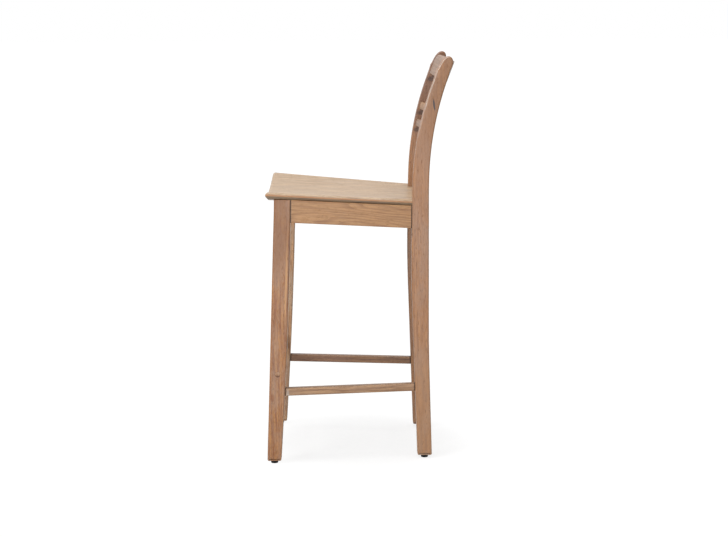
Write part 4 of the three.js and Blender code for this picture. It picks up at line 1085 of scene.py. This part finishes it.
def build_glides():
    nodes = at_corners("glide")
    boxes = [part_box(node) for node in nodes]
    low, high = boxes[0]
    radius, height = (high.x - low.x) / 2, high.z - low.z
    edge = 1.2 * MM
    foot = [(radius - edge * (1 - sin(a)), edge * (1 - cos(a))) for a in np.linspace(0, pi / 2, 5)]
    rows = [(0, 0), (radius - 3 * MM, 0), *foot, (radius, height * 0.4), (radius * 0.985, height * 0.55)]
    rows += [(radius * 0.985, height - 0.2 * MM), (radius * 0.96, height), (0, height)]
    glide = lathe("glide", [(wide, up, 0) for wide, up in rows])
    places = [(((low + high) / 2).xy.to_3d(), (0, 0, 1)) for low, high in boxes]
    spread("glides", glide, places, moulded("black_plastic"), "black_plastic", nodes)


def build_plugs():
    nodes = [f"footrest_plug_{side}" for side in SIDES]
    low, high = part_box(nodes[0])
    radius, depth = (high.z - low.z) / 2, high.x - low.x
    height = (high.z + low.z) / 2
    dome, edge = 0.8 * MM, 0.3 * MM
    dome_rings = (0.9, 0.8, 0.65, 0.5, 0.35, 0.2, 0.1, 0)
    rows = [(0, -depth, 0), (radius - edge, -depth, 0), (radius, edge - depth, 0.6)]
    rows += [(radius, -dome - 0.2 * MM, 1.0), (radius - 0.1 * MM, 0.05 * MM - dome, 1.0)]
    rows += [(radius * share, -dome * share ** 2.2, 0.0) for share in dome_rings]
    places = []
    for node, hand in zip(nodes, SIDES.values()):
        low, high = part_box(node)
        middle = (low + high) / 2
        places.append(((high.x if hand > 0 else low.x, middle.y, middle.z), (hand, 0, 0)))
    wood = plug_oak("plug_wood", height, radius)
    spread("plugs", lathe("plug", rows), places, wood, "plug_wood", nodes)


def finish_plain_nodes(steel):
    """The solids that stay as they are get a finish of their own."""
    finishes = {
        "corner_block": bare_wood("block_wood", (600.0, 60.0, 60.0), "d2b48a", "a98860"),
        "dowel": bare_wood("dowel_wood", (700.0, 700.0, 90.0), "cfae84", "b28f66"),
        "glide_nail": steel,
        "footrest_screw": steel,
    }
    for node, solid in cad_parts.items():
        for word, material in finishes.items():
            if word in node:
                solid.data.materials.clear()
                solid.data.materials.append(material)


# ---- stage

FLOOR_REACH = 30.0
FLOOR_GREY = (0.3, 0.3, 0.3, 1)  # what the floor sends back onto the stool
FLOOR_SHOWN = 1.06  # how bright the floor is seen where no shadow falls
SHADOW_KEPT = 0.72  # how much of the floor's own brightness stays in the shadow
SHADOW_FADE = (0.18, 0.38)  # distances over which the shadow fades out
AMBIENT = 0.25
WHITE = (1, 1, 1, 1)
CAMERA_PLACE = (4.4658, -0.0254, 1.1974)
CAMERA_LENS = 86.54
CAMERA_PITCH, CAMERA_YAW, CAMERA_ROLL = radians(9.385), radians(0.42), radians(-0.316)


def build_floor():
    corners = [(x * FLOOR_REACH, y * FLOOR_REACH, 0) for x, y in ((-1, -1), (1, -1), (1, 1), (-1, 1))]
    floor = new_object("floor", corners, [(0, 1, 2, 3)])
    material, net = new_material("studio_floor", Base_Color=FLOOR_GREY, Roughness=0.9)
    plain = Wire(net, net.tree.nodes["Principled BSDF"].outputs[0])
    lit = net.add("ShaderNodeBsdfDiffuse", {"Color": WHITE})
    glow = net.add("ShaderNodeEmission", {"Strength": FLOOR_SHOWN})
    away = net.vector("LENGTH", net.spot(), output="Value").ramp(*SHADOW_FADE)
    shown = net.add("ShaderNodeMixShader", {0: away * (1 - SHADOW_KEPT) + SHADOW_KEPT, 1: lit, 2: glow})
    seen, mirrored = ray_kinds(net)
    hidden = net.add("ShaderNodeMixShader", {0: mirrored, 1: plain, 2: glow})
    both = net.add("ShaderNodeMixShader", {0: seen, 1: hidden, 2: shown})
    net.fill(net.tree.nodes["Material Output"], {"Surface": both})
    floor.data.materials.append(material)


def ray_kinds(net):
    """Whether a ray comes from the camera, and whether it is mirrored or passed on."""
    kinds = ("Camera", "Glossy", "Transmission")
    seen, glossy, passed = [net.add("ShaderNodeLightPath", None, f"Is {kind} Ray") for kind in kinds]
    return seen, net.math("MAXIMUM", glossy, passed)


def build_world():
    """White to the eye and in reflections, and dimmer as light."""
    world = bpy.data.worlds.new("studio")
    bpy.context.scene.world = world
    world.use_nodes = True
    net = Net(world.node_tree)
    shown = net.math("MAXIMUM", *ray_kinds(net))
    strength = shown * (1 - AMBIENT) + AMBIENT
    net.fill(world.node_tree.nodes["Background"], {"Color": WHITE, "Strength": strength})


def area_lamp(name, place, target, size, power):
    data = bpy.data.lights.new(name, "AREA")
    data.shape = "RECTANGLE"
    data.size, data.size_y = size
    data.energy = power
    lamp = linked(name, data)
    lamp.location = place
    lamp.rotation_euler = (Vector(target) - Vector(place)).to_track_quat("-Z", "Y").to_euler()


def build_camera():
    level = cos(CAMERA_PITCH)
    ahead = Vector((-level * cos(CAMERA_YAW), level * sin(CAMERA_YAW), -sin(CAMERA_PITCH)))
    right = ahead.cross(Vector((0, 0, 1))).normalized()
    up = right.cross(ahead)
    tilt, rise = cos(CAMERA_ROLL), sin(CAMERA_ROLL)
    right, up = right * tilt + up * rise, up * tilt - right * rise
    data = bpy.data.cameras.new("camera")
    data.sensor_width = 36
    data.lens = CAMERA_LENS
    camera = linked("camera", data)
    turn = Matrix((right, up, -ahead)).transposed()
    camera.matrix_world = Matrix.Translation(CAMERA_PLACE) @ turn.to_4x4()
    bpy.context.scene.camera = camera


# ---- marks in the wood, and painted shadows


def beside(face, height, distance):
    """A mark's centre, at a height, and at a distance in mm behind a leg's or post's face."""
    return post_outer, face(height) + distance * MM, height


def lean_of(face, height, reach=20 * MM):
    return (face(height + reach) - face(height - reach)) / (2 * reach)


def shadow_under(node):
    """A mark of painted shadow, cast by a rail into the corner below it on the post."""
    return beside(post_front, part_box(node)[0].z, 17), (20, 9), 0.3, "462c20", 0.8


POST_LEAN = lean_of(post_front, 0.9)
# each mark: its centre, its half sizes in mm along Y and Z, its lean, its hue and its amount
MARKS = {
    "leg_left": [
        (beside(leg_back, 0.47, -7), (2.6, 140), lean_of(leg_back, 0.47), "c79562", 0.75),
        (beside(leg_back, 0.50, -2), (1.3, 120), lean_of(leg_back, 0.50), "6d4f3c", 0.6),
        (beside(leg_back, 0.17, -30), (5, 12), 0.0, "8a5330", 0.6),
        (beside(leg_back, 0.60, -30), (34, 130), 0.0, "80522c", 0.6),
        (beside(leg_back, 0.41, -32), (7, 30), 0.0, "8c5534", 0.4),
    ],
    "leg_right": [],
    "post_left": [
        (beside(post_front, 0.92, 31), (27, 130), POST_LEAN, "845832", 0.6),
        (beside(post_front, 0.75, 25), (60, 150), 0.0, "976844", 0.35),
        (beside(post_front, 0.09, 25), (60, 220), 0.0, "b08a69", 0.32),
        (beside(post_back, 0.893, -14), (2.8, 16), -0.11, "33201e", 1.0),
    ],
    "post_right": [
        (beside(post_front, 0.95, 18), (44, 190), POST_LEAN, "6c4530", 0.6),
        # painted shadows that the crest and the slats cast on the far post
        *[shadow_under(node) for node in ("crest_rail", "upper_back_slat", "lower_back_slat")],
    ],
    "stretcher_left": [
        (beside(leg_back, 0.163, 8), (5, 30), 0.0, "c9c0b6", 0.6),
        (beside(leg_back, 0.163, 3), (1.6, 30), 0.0, "b98a58", 0.8),
    ],
    "stretcher_right": [],
}
STRETCHER_KIND = {"left": "rail", "right": "dark_rail"}


# ---- the stool

build_camera()
build_floor()
build_world()
area_lamp("front_softbox", (1.4, -2.2, 2.4), (0, 0, 0.6), (2.2, 2.2), 56)
area_lamp("side_softbox", (2.2, 0.1, 0.4), (0, 0, 0.35), (1.6, 1.4), 27)
area_lamp("top_softbox", (0, 0, 3.0), (0, 0, 0.6), (2.4, 2.4), 40)
bpy.context.scene.view_settings.view_transform = "Standard"

for side, hand in SIDES.items():
    leg, post, stretcher = f"leg_{side}", f"post_{side}", f"stretcher_{side}"
    front_leg(side, board(f"leg_oak_{side}", leg, 1.3 + hand, MARKS[leg]))
    back_post(side, board(f"post_oak_{side}", post, 4.1 + hand, MARKS[post]))
    wood = board(f"apron_oak_{side}", "apron", 7.7 + hand)
    side_bar(f"apron_side_{side}", f"side_apron_{side}", "apron", hand, wood)
    wood = board(f"stretcher_oak_{side}", STRETCHER_KIND[side], 11.1 + hand, MARKS[stretcher])
    side_bar(f"stretcher_side_{side}", f"side_stretcher_{side}", "rail", hand, wood)

build_seat(board("seat_oak", "seat", 2.2))

for name, node, kind, inner, oak_name, seed in (
    ("apron_front", "front_apron", "apron", leg_inner, "apron_oak_front", 15.4),
    ("apron_back", "back_apron", "apron", post_inner, "apron_oak_back", 16.9),
    ("footrest", "front_footrest", "rail", leg_inner, "footrest_oak", 21.5),
    ("stretcher_back", "back_stretcher", "rail", post_inner, "stretcher_oak_back", 23.8),
):
    cross_bar(name, node, kind, inner, board(oak_name, kind, seed))

bowed_rail("crest", "crest_rail", board("crest_oak", "back_rail", 31.0))
bowed_rail("slat_upper", "upper_back_slat", board("slat_oak_upper", "rail", 33.0))
bowed_rail("slat_lower", "lower_back_slat", board("slat_oak_lower", "back_rail", 35.0))

zinc_steel = zinc("zinc_steel")
build_screws(zinc_steel)
build_glides()
build_plugs()
finish_plain_nodes(zinc_steel)
